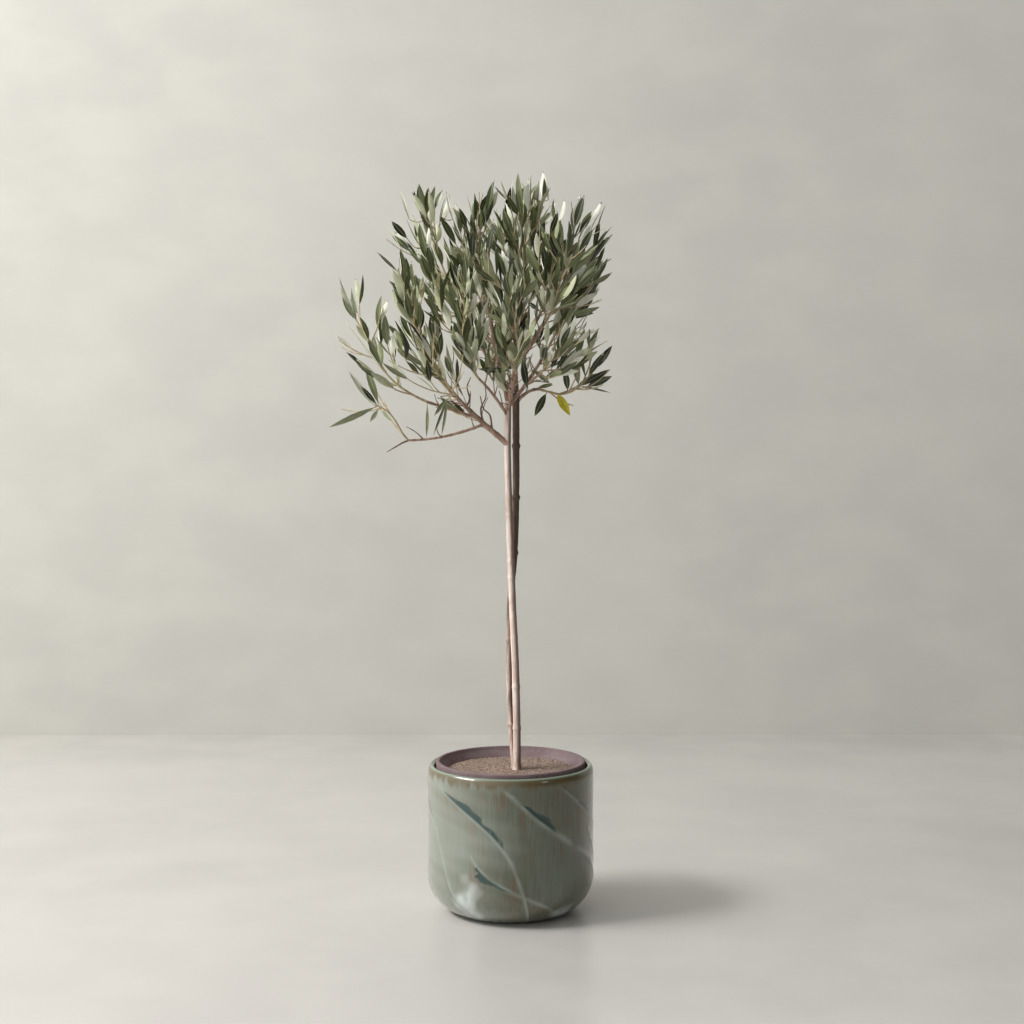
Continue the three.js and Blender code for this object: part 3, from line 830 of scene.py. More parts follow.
def mottle_group():
    """Soft patches, stretched along Z, as a mask from 0 to 1."""
    tree, source, sink = new_group(
        "mottle",
        "ShaderNodeTree",
        [
            ("Scale", "NodeSocketFloat", 40.0),
            ("Stretch", "NodeSocketFloat", 1.0),
            ("Detail", "NodeSocketFloat", 4.0),
            ("Low", "NodeSocketFloat", 0.35),
            ("High", "NodeSocketFloat", 0.65),
        ],
        [("Mask", "NodeSocketFloat")],
    )
    link = tree.links.new
    place = add_node(tree, "ShaderNodeTexCoord")
    parts = add_node(tree, "ShaderNodeSeparateXYZ")
    height = add_node(tree, "ShaderNodeMath", operation="DIVIDE")
    joined = add_node(tree, "ShaderNodeCombineXYZ")
    noise = add_node(tree, "ShaderNodeTexNoise")
    mapped = add_node(tree, "ShaderNodeMapRange", interpolation_type="SMOOTHSTEP")
    link(place.outputs["Object"], parts.inputs[0])
    link(parts.outputs["X"], joined.inputs["X"])
    link(parts.outputs["Y"], joined.inputs["Y"])
    link(parts.outputs["Z"], height.inputs[0])
    link(source.outputs["Stretch"], height.inputs[1])
    link(height.outputs[0], joined.inputs["Z"])
    link(joined.outputs[0], noise.inputs["Vector"])
    link(source.outputs["Scale"], noise.inputs["Scale"])
    link(source.outputs["Detail"], noise.inputs["Detail"])
    link(noise.outputs[0], mapped.inputs["Value"])
    link(source.outputs["Low"], mapped.inputs["From Min"])
    link(source.outputs["High"], mapped.inputs["From Max"])
    link(mapped.outputs[0], sink.inputs["Mask"])
    return tree


MOTTLE = mottle_group()


def srgb(*seen):
    """A colour given as it is seen, 0 to 255, in the linear values that a shader takes."""
    shares = [value / 255 for value in seen]
    return tuple(c / 12.92 if c <= 0.04045 else ((c + 0.055) / 1.055) ** 2.4 for c in shares) + (1.0,)


class Paint:
    """A material being made: its Principled shader and the chain of colours that feeds it."""

    def __init__(self, name, colour, roughness, sockets=None):
        self.material = bpy.data.materials.new(name)
        self.material.use_nodes = True
        self.tree = self.material.node_tree
        self.shader = self.tree.nodes["Principled BSDF"]
        self.shader.inputs["Base Color"].default_value = colour
        self.shader.inputs["Roughness"].default_value = roughness
        for label, value in (sockets or {}).items():
            self.shader.inputs[label].default_value = value
        self.colour = None
        self.plain = colour

    def mottle(self, scale, stretch=1.0, low=0.35, high=0.65, detail=4.0):
        node = add_node(
            self.tree,
            "ShaderNodeGroup",
            node_tree=MOTTLE,
        )
        for label, value in (
            ("Scale", scale),
            ("Stretch", stretch),
            ("Low", low),
            ("High", high),
            ("Detail", detail),
        ):
            node.inputs[label].default_value = value
        return node.outputs["Mask"]

    def attribute(self, name):
        return add_node(self.tree, "ShaderNodeAttribute", attribute_name=name).outputs["Fac"]

    def coordinate(self, reading, axis):
        """One axis of the place, or of the facing, as a value."""
        place = add_node(self.tree, "ShaderNodeTexCoord")
        parts = add_node(self.tree, "ShaderNodeSeparateXYZ")
        self.tree.links.new(place.outputs[reading], parts.inputs[0])
        return parts.outputs[axis]

    def ramp(self, value, start, end, **settings):
        """A mask that goes from 0 to 1 as a value goes from start to end."""
        mapped = add_node(self.tree, "ShaderNodeMapRange", {"From Min": start, "From Max": end}, **settings)
        self.tree.links.new(value, mapped.inputs["Value"])
        return mapped.outputs[0]

    def across(self, reading, axis, start, end):
        """A soft-ended ramp along one axis of the place or of the facing."""
        return self.ramp(self.coordinate(reading, axis), start, end, interpolation_type="SMOOTHSTEP")

    def maths(self, operation, a, b, clamp=False):
        node = add_node(self.tree, "ShaderNodeMath", operation=operation, use_clamp=clamp)
        for socket, value in zip(node.inputs, (a, b)):
            if isinstance(value, (int, float)):
                socket.default_value = value
            else:
                self.tree.links.new(value, socket)
        return node.outputs[0]

    def both(self, a, b):
        """Two masks multiplied, or a mask weakened by a number."""
        return self.maths("MULTIPLY", a, b)

    def over(self, mask, colour, strength=1.0):
        """Lays a colour over what is there, where the mask shows."""
        mix = add_node(self.tree, "ShaderNodeMix", data_type="RGBA")
        if strength != 1.0:
            mask = self.maths("MULTIPLY", mask, strength)
        self.tree.links.new(mask, mix.inputs["Factor"])
        if self.colour is None:
            mix.inputs[6].default_value = self.plain
        else:
            self.tree.links.new(self.colour, mix.inputs[6])
        mix.inputs[7].default_value = colour
        self.colour = mix.outputs[2]
        self.tree.links.new(self.colour, self.shader.inputs["Base Color"])

    def rough(self, mask, low, high):
        node = add_node(self.tree, "ShaderNodeMapRange", {"To Min": low, "To Max": high})
        self.tree.links.new(mask, node.inputs["Value"])
        self.tree.links.new(node.outputs[0], self.shader.inputs["Roughness"])

    def bump(self, height, depth, strength=1.0):
        node = add_node(self.tree, "ShaderNodeBump", {"Distance": depth, "Strength": strength})
        self.tree.links.new(height, node.inputs["Height"])
        self.tree.links.new(node.outputs[0], self.shader.inputs["Normal"])


# ---- Cover pot -------------------------------------------------------------------------------------

GLAZE = {
    "sides": 480,
    "lines": 11,
    "line_half_width": 4.2,
    "line_height": 0.8,
    "teal_half_width": 5.5,
    "teal_edge": 1.1,
    "field_reach": 46,
    "seed": 23,
}

# The pale pools over the heel, which partly stand for a painted reflection: turn, height along the wall, half
# length and half height.
PALE_POOLS_REFLECTION = [
    (-2.13, 34, 27, 52),
    (-0.75, 8, 34, 24),
    (0.45, 22, 26, 38),
    (1.7, 14, 36, 28),
    (2.9, 26, 26, 40),
]
PAINTED_SHEEN_TURN = -2.75  # the turn that faces the lights, where the glaze takes a painted sheen


def cover_profile():
    """The cover pot's whole section, from the middle of its underside to the middle of its floor inside."""
    _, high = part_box("cover_pot")
    radius, height = high.y / MM, high.z / MM
    foot, heel, crest = COVER["foot_radius"], COVER["heel_height"], COVER["crest_radius"]
    inside = radius - COVER["wall"]
    shoulder, lip = radius - crest, crest - inside
    return np.concatenate(
        (
            line((0, 0.6), (foot - 9, 0.6), 4),
            line((foot - 9, 0.6), (foot - 7, 0), 2),
            arc((foot, heel), (radius - foot, heel), -90, 0, 44),
            line((radius, heel + 1.8), (radius, height - 2 * shoulder), 88),
            arc((crest, height - 2 * shoulder), (shoulder, 2 * shoulder), 0, 90, 12),
            arc((crest, height - lip), (lip, lip), 96, 180, 8),
            line((inside, height - lip - 8), (inside, heel), 10),
            arc((foot, heel), (inside - foot, heel - COVER["floor"]), 0, -90, 12),
            [(0, COVER["floor"])],
        )
    )


def flow_lines():
    """The trailed lines: where each starts, how far it drops and drifts, and its teal stroke."""
    random = seeded_random(GLAZE["seed"])
    courses = []
    for k in range(GLAZE["lines"]):
        long = k % 3 != 1
        top = 226 if long else between(random, (112, 160))
        courses.append(
            {
                "turn": (k + 0.5 * random()) * 2 * math.pi / GLAZE["lines"],
                "top": top,
                "foot": between(random, (-26, 12)) if long else between(random, (-30, -8)),
                "drift": between(random, (130, 230)) if long else between(random, (90, 150)),
                "bow": either_way(random, 1.5),
                "weave": either_way(random, 0.16),
                "width": GLAZE["line_half_width"] * between(random, (0.6, 1.5)),
                "teal_start": 0.02 + 0.14 * random(),
                "teal_length": between(random, (0.2, 0.42)),
                "teal_side": 1 if random() > 0.5 else -1,
                "edge_start": between(random, (0.3, 1.1)),
            }
        )
    return courses


def brushed(share, number):
    """How a brush widens and starves along its stroke."""
    return 1 + 0.28 * np.sin(31 * share + 1.7 * number) + 0.14 * np.sin(83 * share + 2.9 * number)


def glaze_marks(turns, climbs, radius):
    """Masks over the wall: the raised lines, the teal beside them and the streaked fields under them."""
    lines, teal, fields = np.zeros_like(turns), np.zeros_like(turns), np.zeros_like(turns)
    for number, course in enumerate(flow_lines()):
        drop = course["top"] - course["foot"]
        share = (course["top"] - climbs) / drop
        inside = np.clip(share, 0, 1)
        bend = inside + course["bow"] * inside * (1 - inside) + course["weave"] * np.sin(2 * math.pi * inside)
        slope = 1 + course["bow"] * (1 - 2 * inside)
        slope += course["weave"] * 2 * math.pi * np.cos(2 * math.pi * inside)
        place = (turns - course["turn"]) * radius - course["drift"] * bend
        place = (place + math.pi * radius) % (2 * math.pi * radius) - math.pi * radius
        off = place / np.hypot(1, slope * course["drift"] / drop)
        present = np.clip(share * 18 + 1, 0, 1) * np.clip((1 - share) * 12, 0, 1)
        width = course["width"] * (0.5 + 0.5 * np.sin(math.pi * inside) ** 0.5)
        lines = np.maximum(lines, np.exp(-((off / width) ** 2)) * present)
        stroke = np.clip((share - course["teal_start"]) / course["teal_length"], 0, 1)
        half = GLAZE["teal_half_width"] * np.sin(math.pi * stroke**0.7) ** 0.8 * brushed(share, number)
        beside = off * course["teal_side"] - 0.8 * half * (1 + 0.3 * np.sin(5 * share + number))
        teal = np.maximum(teal, np.clip((half - np.abs(beside)) / 1.8, 0, 1) * (half > 0.3))
        edge = np.where(off * course["teal_side"] > 0, np.abs(off) - 1.25 * width, 9.0)
        along = np.clip(4 * (share - course["edge_start"]), 0, 1) * present
        teal = np.maximum(teal, 0.7 * np.exp(-((edge / GLAZE["teal_edge"]) ** 2)) * along)
        under = np.clip(-off / 6, 0, 1) * np.clip(1 + off / GLAZE["field_reach"], 0, 1)
        fields = np.maximum(fields, under * present)
    return lines, teal, fields


def pale_pool_reflection_mask(turns, climbs, radius):
    """A mask of the pale pools of glaze over the heel, which partly stand for a painted reflection."""
    pale_pools_reflections = np.zeros_like(turns)
    for turn, climb, half_length, half_height in PALE_POOLS_REFLECTION:
        around = (turns - turn + math.pi) % (2 * math.pi) - math.pi
        around = around * radius / half_length + 0.35 * np.sin(0.11 * climbs + turn)
        off = np.hypot(around, (climbs - climb) / half_height)
        off += 0.1 * np.sin(9 * turns + 0.13 * climbs) + 0.06 * np.sin(31 * turns - 0.21 * climbs)
        pale_pools_reflections = np.maximum(pale_pools_reflections, np.clip((1 - off) / 0.6, 0, 1))
    return pale_pools_reflections


def painted_sheen_mask(turns, climbs):
    """A mask of the painted sheen on the side that faces the lights, with an uneven edge."""
    sway = 0.14 * np.sin(0.05 * climbs + 1.0) + 0.06 * np.sin(0.21 * climbs + 5 * turns)
    return np.clip(0.5 + 1.5 * (np.cos(turns - PAINTED_SHEEN_TURN) - 0.62 + sway), 0, 1)


def make_cover_pot():
    profile = cover_profile()
    rings = profile[1:-1]
    sides = GLAZE["sides"]
    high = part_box("cover_pot")[1]
    radius, height = high.y / MM, high.z / MM
    climbs = np.concatenate(([0], np.cumsum(np.hypot(*np.diff(rings, axis=0).T))))
    wall_ring = int(np.argmax((rings[:, 0] > radius - 0.01)))
    climbs = climbs - climbs[wall_ring] + rings[wall_ring, 1]
    crest_ring = int(np.argmax(rings[:, 1]))
    outside = np.arange(len(rings)) <= crest_ring
    turns = np.arange(sides) * 2 * math.pi / sides
    turn_grid, climb_grid = np.meshgrid(turns, climbs)
    lines, teal, fields = glaze_marks(turn_grid, climb_grid, radius)
    pale_pools_reflections = pale_pool_reflection_mask(turn_grid, climb_grid, radius) * outside[:, None]
    fade = np.clip((height - 14 - climb_grid) / 12, 0, 1) * outside[:, None]
    fade *= np.clip((climb_grid + 34) / 14, 0, 1)
    lines, teal, fields = lines * fade, teal * fade, fields * fade
    mesh = lathe("cover_pot_glaze", profile, sides, GLAZE["line_height"] * (lines - 1) * outside[:, None])
    masks = {
        "raised_line": lines,
        "teal_mark": teal,
        "field": fields,
        "pale_pool_reflection": pale_pools_reflections,
        "painted_sheen_side": painted_sheen_mask(turn_grid, climb_grid),
    }
    for label, mask in masks.items():
        values = np.concatenate((mask.reshape(-1), (0.0, 0.0))).astype(np.float32)
        mesh.attributes.new(label, "FLOAT", "POINT").data.foreach_set("value", values)
    add_object("cover_pot_glaze", mesh, [glaze_material(height)], "glaze", ["cover_pot"])


def glaze_material(height):
    """Sage reactive glaze: pale raised lines whose colour also stands for a painted highlight, teal strokes,
    brown streaks, an ochre band under a mint lip, a painted sheen on the side towards the lights, painted
    shade on the side away from them, and pale pools over the heel that are partly a painted reflection.
    """
    paint = Paint("sage_glaze", srgb(95, 99, 79), 0.3, {"Coat Weight": 1.0, "Coat Roughness": 0.05})
    clouds = paint.mottle(12, 1.4, 0.25, 0.75, 2)
    paint.over(clouds, srgb(116, 129, 111), 0.9)
    paint.over(paint.mottle(24, 2.5, 0.4, 0.85, 2), srgb(80, 79, 52), 0.7)
    paint.over(paint.mottle(260, 14, 0.4, 0.75, 4), srgb(126, 142, 130), 0.4)
    fine = paint.mottle(330, 15, 0.44, 0.6, 5)
    patches = paint.mottle(22, 1.2, 0.36, 0.56, 2)
    in_field = paint.maths("ADD", paint.maths("MULTIPLY", paint.attribute("field"), 0.7), 0.45, True)
    streaks = paint.both(paint.both(fine, patches), in_field)
    paint.over(streaks, srgb(112, 88, 56), 0.95)
    # Painted sheen: the side of the pot towards the lights is paler.
    paint.over(paint.attribute("painted_sheen_side"), srgb(160, 166, 156), 0.5)
    # Painted shade: the side of the pot away from the lights is darker.
    glaze_far_side_shade = paint.maths("SUBTRACT", 1.0, paint.attribute("painted_sheen_side"))
    paint.over(glaze_far_side_shade, srgb(60, 62, 44), 0.34)
    # Pale glaze pools over the heel, partly a painted reflection.
    pale_pool_reflection = paint.both(paint.attribute("pale_pool_reflection"), paint.mottle(40, 1.6, 0.1, 0.5, 3))
    paint.over(pale_pool_reflection, srgb(206, 214, 210), 0.88)
    # The raised lines are paler, and their colour also stands for a painted highlight on their relief.
    pale_line_highlight = paint.both(paint.attribute("raised_line"), paint.mottle(30, 1, 0.1, 0.65, 3))
    paint.over(pale_line_highlight, srgb(154, 163, 153), 0.75)
    teal = paint.both(paint.attribute("teal_mark"), paint.mottle(90, 4, 0.12, 0.46, 3))
    paint.over(teal, srgb(32, 62, 58))
    level = paint.coordinate("Object", "Z")
    drips = paint.both(paint.mottle(75, 8, 0.25, 0.8), 0.018)
    lowered = paint.maths("SUBTRACT", paint.maths("ADD", level, drips), (height - 6) * MM)
    paint.over(paint.ramp(lowered, -0.004, 0.005), srgb(96, 82, 48), 0.9)
    lip = paint.ramp(level, (height - 3.2) * MM, (height - 1.2) * MM)
    paint.over(lip, srgb(128, 146, 126), 0.95)
    paint.rough(clouds, 0.26, 0.38)
    paint.bump(paint.mottle(110, 3, 0.1, 0.9, 2), 0.0005, 0.15)
    return paint.material


# ---- Clay pot and soil -----------------------------------------------------------------------------

GRAINS = {"density": 150000.0, "least": 0.001, "most": 0.0026, "below_edge": 0.8, "seed": 4}
LUMP_HEIGHT = 0.5


def clay_profile():
    _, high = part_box("clay_pot")
    rim, top = high.y / MM, high.z / MM
    foot, wall = CLAY["foot_radius"], CLAY["wall"]
    base = COVER["floor"] + GAP
    neck, step = top - CLAY["rim_depth"], CLAY["rim_step"]
    inner = rim - CLAY["rim_flat"]
    bore = SOIL["radius"] + GAP, SOIL["top"] - SOIL["edge_drop"]
    return np.concatenate(
        (
            line((0, base), (foot, base), 3),
            line((foot, base), (rim - step, neck), 20),
            line((rim - step, neck), (rim, neck), 2),
            line((rim, neck + 1), (rim, top - 2), 6),
            arc((rim - 2, top - 2), (2, 2), 0, 90, 5),
            arc((inner + 1.5, top - 1.5), (1.5, 1.5), 90, 160, 3),
            line((inner - 0.5, top - 4), bore, 5),
            line(bore, (foot - wall, base + wall), 12),
            [(foot - wall, base + wall), (0, base + wall)],
        )
    )


def clay_material():
    paint = Paint("matt_clay", srgb(128, 111, 112), 0.86)
    paint.over(paint.mottle(30, 0.6), srgb(112, 90, 90), 0.6)
    paint.over(paint.mottle(420, 1, 0.5, 0.7, 2), srgb(156, 136, 136), 0.5)
    paint.bump(paint.mottle(700, 1, 0.3, 0.7, 3), 0.0004, 0.5)
    return paint.material


def soil_material():
    paint = Paint("sandy_soil", srgb(162, 140, 126), 0.95)
    paint.over(paint.mottle(500, 1, 0.35, 0.65, 5), srgb(108, 88, 78), 0.7)
    paint.over(paint.mottle(60, 1, 0.4, 0.7), srgb(186, 164, 146), 0.5)
    paint.bump(paint.mottle(600, 1, 0.2, 0.8, 5), 0.0012, 0.9)
    return paint.material


def grain_material():
    paint = Paint("soil_grains", srgb(184, 162, 146), 0.9)
    paint.over(paint.mottle(220, 1, 0.42, 0.58, 2), srgb(104, 86, 78), 0.85)
    paint.over(paint.mottle(330, 1, 0.6, 0.7, 2), srgb(224, 210, 194), 0.7)
    return paint.material


def soil_surface():
    """The soil's body: a low uneven mound."""
    floor = COVER["floor"] + 2 * GAP + CLAY["wall"]
    edge, top, drop = SOIL["radius"], SOIL["top"], SOIL["edge_drop"]
    profile = np.concatenate(
        (
            line((0, floor), (CLAY["foot_radius"] - CLAY["wall"] - GAP, floor), 2),
            line((CLAY["foot_radius"] - CLAY["wall"] - GAP, floor), (edge, top - drop), 6),
            line((edge, top - drop), (3, top), 40),
            [(0, top)],
        )
    )
    mesh = lathe("soil_bed", profile, 144)
    points = np.empty(len(mesh.vertices) * 3)
    mesh.vertices.foreach_get("co", points)
    points = points.reshape(-1, 3)
    x, y = points[:, 0] / MM, points[:, 1] / MM
    lumps = np.sin(x * 0.31 + 1.3) * np.sin(y * 0.27)
    lumps += 0.5 * np.sin(x * 0.83 + y * 0.6) * np.sin(y * 0.95 - 0.7)
    inner = np.clip((edge - 2 - np.hypot(x, y)) / 10, 0, 1) * (points[:, 2] > (top - 4) * MM)
    points[:, 2] += LUMP_HEIGHT * lumps * inner * MM
    mesh.vertices.foreach_set("co", points.reshape(-1))
    return mesh


def grains_tree(material):
    """Scatters small stones over the faces that look up."""
    tree, source, sink = new_group(
        "scatter_grains",
        "GeometryNodeTree",
        [
            ("Geometry", "NodeSocketGeometry", None),
            ("Density", "NodeSocketFloat", 1000.0),
            ("Least size", "NodeSocketFloat", 0.001),
            ("Greatest size", "NodeSocketFloat", 0.002),
            ("Seed", "NodeSocketInt", 0),
            ("Lowest", "NodeSocketFloat", 0.0),
        ],
        [("Geometry", "NodeSocketGeometry")],
    )
    link = tree.links.new
    scatter = add_node(tree, "GeometryNodeDistributePointsOnFaces")
    place = add_node(tree, "GeometryNodeInputPosition")
    parts = add_node(tree, "ShaderNodeSeparateXYZ")
    upper = add_node(tree, "FunctionNodeCompare", operation="GREATER_THAN")
    stone = add_node(tree, "GeometryNodeMeshIcoSphere", {"Radius": 0.5, "Subdivisions": 1})
    sizes = add_node(tree, "FunctionNodeRandomValue", data_type="FLOAT_VECTOR")
    least = add_node(tree, "ShaderNodeCombineXYZ")
    most = add_node(tree, "ShaderNodeCombineXYZ")
    turns = add_node(tree, "FunctionNodeRandomValue", data_type="FLOAT_VECTOR")
    turns.inputs["Max"].default_value = (math.tau, math.tau, math.tau)
    copies = add_node(tree, "GeometryNodeInstanceOnPoints")
    real = add_node(tree, "GeometryNodeRealizeInstances")
    finish = add_node(tree, "GeometryNodeSetMaterial", {"Material": material})
    link(place.outputs[0], parts.inputs[0])
    link(parts.outputs["Z"], upper.inputs["A"])
    link(source.outputs["Lowest"], upper.inputs["B"])
    link(source.outputs["Geometry"], scatter.inputs["Mesh"])
    link(upper.outputs[0], scatter.inputs["Selection"])
    link(source.outputs["Density"], scatter.inputs["Density"])
    link(source.outputs["Seed"], scatter.inputs["Seed"])
    for axis in "XYZ":
        link(source.outputs["Least size"], least.inputs[axis])
        link(source.outputs["Greatest size"], most.inputs[axis])
    link(least.outputs[0], sizes.inputs["Min"])
    link(most.outputs[0], sizes.inputs["Max"])
    link(source.outputs["Seed"], sizes.inputs["Seed"])
    link(scatter.outputs["Points"], copies.inputs["Points"])
    link(stone.outputs["Mesh"], copies.inputs["Instance"])
    link(turns.outputs["Value"], copies.inputs["Rotation"])
    link(sizes.outputs["Value"], copies.inputs["Scale"])
    link(copies.outputs[0], real.inputs[0])
    link(real.outputs[0], finish.inputs["Geometry"])
    link(finish.outputs[0], sink.inputs["Geometry"])
    return tree


def grown_mesh(name, source, tree, values):
    """What a geometry-nodes tree makes of an object, as a plain mesh. The object is removed."""
    bpy.context.scene.collection.objects.link(source)
    modifier = source.modifiers.new(name, "NODES")
    modifier.node_group = tree
    for item in tree.interface.items_tree:
        if item.in_out == "INPUT" and item.name in values:
            modifier[item.identifier] = values[item.name]
    graph = bpy.context.evaluated_depsgraph_get()
    mesh = bpy.data.meshes.new_from_object(source.evaluated_get(graph))
    mesh.name = name
    source.modifiers.clear()
    bpy.data.objects.remove(source)
    return mesh


def make_pot_contents():
    clay = lathe("clay_pot_body", clay_profile(), 160)
    add_object("clay_pot_body", clay, [clay_material()], "clay", ["clay_pot"])
    bed = soil_surface()
    add_object("soil_bed", bed, [soil_material()], "soil", ["soil"])
    material = grain_material()
    scattered = grown_mesh(
        "soil_grains",
        bpy.data.objects.new("soil_grains_source", bed.copy()),
        grains_tree(material),
        {
            "Density": GRAINS["density"],
            "Least size": GRAINS["least"],
            "Greatest size": GRAINS["most"],
            "Seed": GRAINS["seed"],
            "Lowest": (SOIL["top"] - SOIL["edge_drop"] - GRAINS["below_edge"]) * MM,
        },
    )
    add_object("soil_grains", scattered, [], "soil")


# ---- Bark ------------------------------------------------------------------------------------------

RING_STEP = 2.0  # between the rings of a dressed limb
TWIG_RING_STEP = 4.0
TWIG_RING = 0.22
STEM_BARK = {
    "sunk": 2,
    "flare": 1.8,
    "flare_height": 14,
    "node_reach": 3.2,
    "waist": 0.25,
    "waist_above": 7,
    "waist_reach": 3.0,
    "first_scar": 30,
    "scars_apart": 38,
    "scar_jitter": 9,
    "scar": 0.35,
    "scar_reach": 1.6,
}
BOUGH_BARK = {
    "collar": 0.22,
    "collar_reach": 8,
    "first_node": (16, 24),
    "nodes_apart": (17, 26),
    "node_reach": 1.8,
}
# The radii of the dressed shoots at root and tip. A mass's main shoot starts as wide as its bough ends.
MAIN_SHOOT_TIP = 0.9
SHOOT_RADII = {"twig": (1.35, 0.75), "twiglet": (0.95, 0.6), "stalk": (0.9, 0.6), "bare": (1.7, 0.7)}
# The bark's meshes: their sides, how deep their wrinkles are in metres, and how fine these are.
RELIEF = {
    "stem": (28, 0.0007, 260.0),
    "bough": (16, 0.0006, 420.0),
    "twig": (7, 0.0002, 500.0),
    "bare": (7, 0.0003, 500.0),
}


def tube_tree():
    """A path with radii made into a limb with bark: fine wrinkles stretched along it."""
    tree, source, sink = new_group(
        "bark_tube",
        "GeometryNodeTree",
        [
            ("Geometry", "NodeSocketGeometry", None),
            ("Sides", "NodeSocketInt", 12),
            ("Relief", "NodeSocketFloat", 0.0),
            ("Grain", "NodeSocketFloat", 300.0),
            ("Bark", "NodeSocketMaterial", None),
        ],
        [("Geometry", "NodeSocketGeometry")],
    )
    link = tree.links.new
    circle = add_node(tree, "GeometryNodeCurvePrimitiveCircle", {"Radius": 1.0})
    tube = add_node(tree, "GeometryNodeCurveToMesh", {"Fill Caps": True})
    thickness = add_node(tree, "GeometryNodeInputRadius")
    place = add_node(tree, "GeometryNodeInputPosition")
    stretched = add_node(tree, "ShaderNodeVectorMath", operation="MULTIPLY")
    stretched.inputs[1].default_value = (1, 1, 0.22)
    noise = add_node(tree, "ShaderNodeTexNoise", {"Detail": 3.0})
    centred = add_node(tree, "ShaderNodeMath", {1: 0.5}, operation="SUBTRACT")
    height = add_node(tree, "ShaderNodeMath", operation="MULTIPLY")
    facing = add_node(tree, "GeometryNodeInputNormal")
    offset = add_node(tree, "ShaderNodeVectorMath", operation="SCALE")
    moved = add_node(tree, "GeometryNodeSetPosition")
    smooth = add_node(tree, "GeometryNodeSetShadeSmooth")
    finish = add_node(tree, "GeometryNodeSetMaterial")
    link(source.outputs["Sides"], circle.inputs["Resolution"])
    link(source.outputs["Geometry"], tube.inputs["Curve"])
    link(circle.outputs[0], tube.inputs["Profile Curve"])
    link(thickness.outputs[0], tube.inputs["Scale"])
    link(place.outputs[0], stretched.inputs[0])
    link(stretched.outputs[0], noise.inputs["Vector"])
    link(source.outputs["Grain"], noise.inputs["Scale"])
    link(noise.outputs[0], centred.inputs[0])
    link(centred.outputs[0], height.inputs[0])
    link(source.outputs["Relief"], height.inputs[1])
    link(facing.outputs[0], offset.inputs[0])
    link(height.outputs[0], offset.inputs["Scale"])
    link(tube.outputs[0], moved.inputs["Geometry"])
    link(offset.outputs[0], moved.inputs["Offset"])
    link(moved.outputs[0], smooth.inputs["Geometry"])
    link(smooth.outputs[0], finish.inputs["Geometry"])
    link(source.outputs["Bark"], finish.inputs["Material"])
    link(finish.outputs[0], sink.inputs["Geometry"])
    return tree


def curve_of(name, limbs):
    """A curve object with one open path for each limb, in metres."""
    curve = bpy.data.curves.new(name, "CURVE")
    curve.dimensions = "3D"
    for path, radii in limbs:
        spline = curve.splines.new("POLY")
        spline.points.add(len(path) - 1)
        places = np.concatenate((path * MM, np.ones((len(path), 1))), axis=1)
        spline.points.foreach_set("co", places.reshape(-1))
        spline.points.foreach_set("radius", np.asarray(radii) * MM)
    return bpy.data.objects.new(name, curve)


def resampled(path, step):
    """A path with even steps, smoothed through its points."""
    lengths = np.concatenate(([0], np.cumsum(np.sqrt((np.diff(path, axis=0) ** 2).sum(1)))))
    count = max(3, int(lengths[-1] / step))
    shares = np.linspace(0, 1, count)
    dense = np.array([through(path, share) for share in np.linspace(0, 1, 6 * count)])
    reach = np.concatenate(([0], np.cumsum(np.sqrt((np.diff(dense, axis=0) ** 2).sum(1)))))
    return np.stack([np.interp(shares * reach[-1], reach, dense[:, k]) for k in range(3)], axis=1)


def swelling(places, centre, reach):
    """How strongly a small swelling shows at each place."""
    return np.exp(-(((places - centre) / reach) ** 2))


def stem_limb(name):
    """A dressed stem: its own axis, flared foot, swollen nodes and small leaf scars."""
    stem, bark = STEMS[name], STEM_BARK
    foot, top = SOIL["top"] - bark["sunk"], stem["top"]
    heights = np.arange(foot, top, RING_STEP)
    at = stem_axis(stem)
    path = np.array([at(max(h, SOIL["top"] + GAP)) + UP * min(0, h - SOIL["top"] - GAP) for h in heights])
    share = (heights - foot) / (top - foot)
    path[:, 0] += stem["tuck"] * np.clip(1 - 2 * share, 0, 1)
    at_foot, at_top = stem["dressed"]
    radii = at_foot + (at_top - at_foot) * share
    radii += bark["flare"] * np.clip(1 - (heights - foot) / bark["flare_height"], 0, 1) ** 2
    for node in stem["nodes"]:
        radii += stem["swell"] * swelling(heights, node, bark["node_reach"])
        radii -= bark["waist"] * swelling(heights, node + bark["waist_above"], bark["waist_reach"])
    random = seeded_random(len(name))
    for height in np.arange(foot + bark["first_scar"], top, bark["scars_apart"]):
        scar = height + either_way(random, bark["scar_jitter"])
        radii += bark["scar"] * swelling(heights, scar, bark["scar_reach"])
    return path, radii


def bough_limb(name, limbs):
    """A dressed bough: a collar at its root, small nodes along it."""
    _, _, _, (thick, thin), _ = BOUGHS[name]
    path = resampled(limbs[name], RING_STEP)
    share = np.linspace(0, 1, len(path))
    radii = thick + (thin - thick) * share
    reach = share * len(path) * RING_STEP
    radii += BOUGH_BARK["collar"] * thick * swelling(reach, 0, BOUGH_BARK["collar_reach"])
    random = seeded_random(31 * len(name))
    node = between(random, BOUGH_BARK["first_node"])
    while node < reach[-1] - 6:
        radii += (0.12 * thick + 0.2) * swelling(reach, node, BOUGH_BARK["node_reach"])
        node += between(random, BOUGH_BARK["nodes_apart"])
    return path, radii


def twig_limb(path, thick, thin):
    """A dressed twig, slightly ringed at every fourth step."""
    places = resampled(path, TWIG_RING_STEP)
    share = np.linspace(0, 1, len(places))
    radii = thick + (thin - thick) * share
    radii[1::4] += TWIG_RING
    return places, radii


FOOT_FADE = (0.5, 0.42)  # the heights between which the back stem turns from brown to pale
SIDE_SHADE_FADE = (-0.25, 0.65)  # the facing, along X, over which a stem darkens with painted shade on its side away from the lights


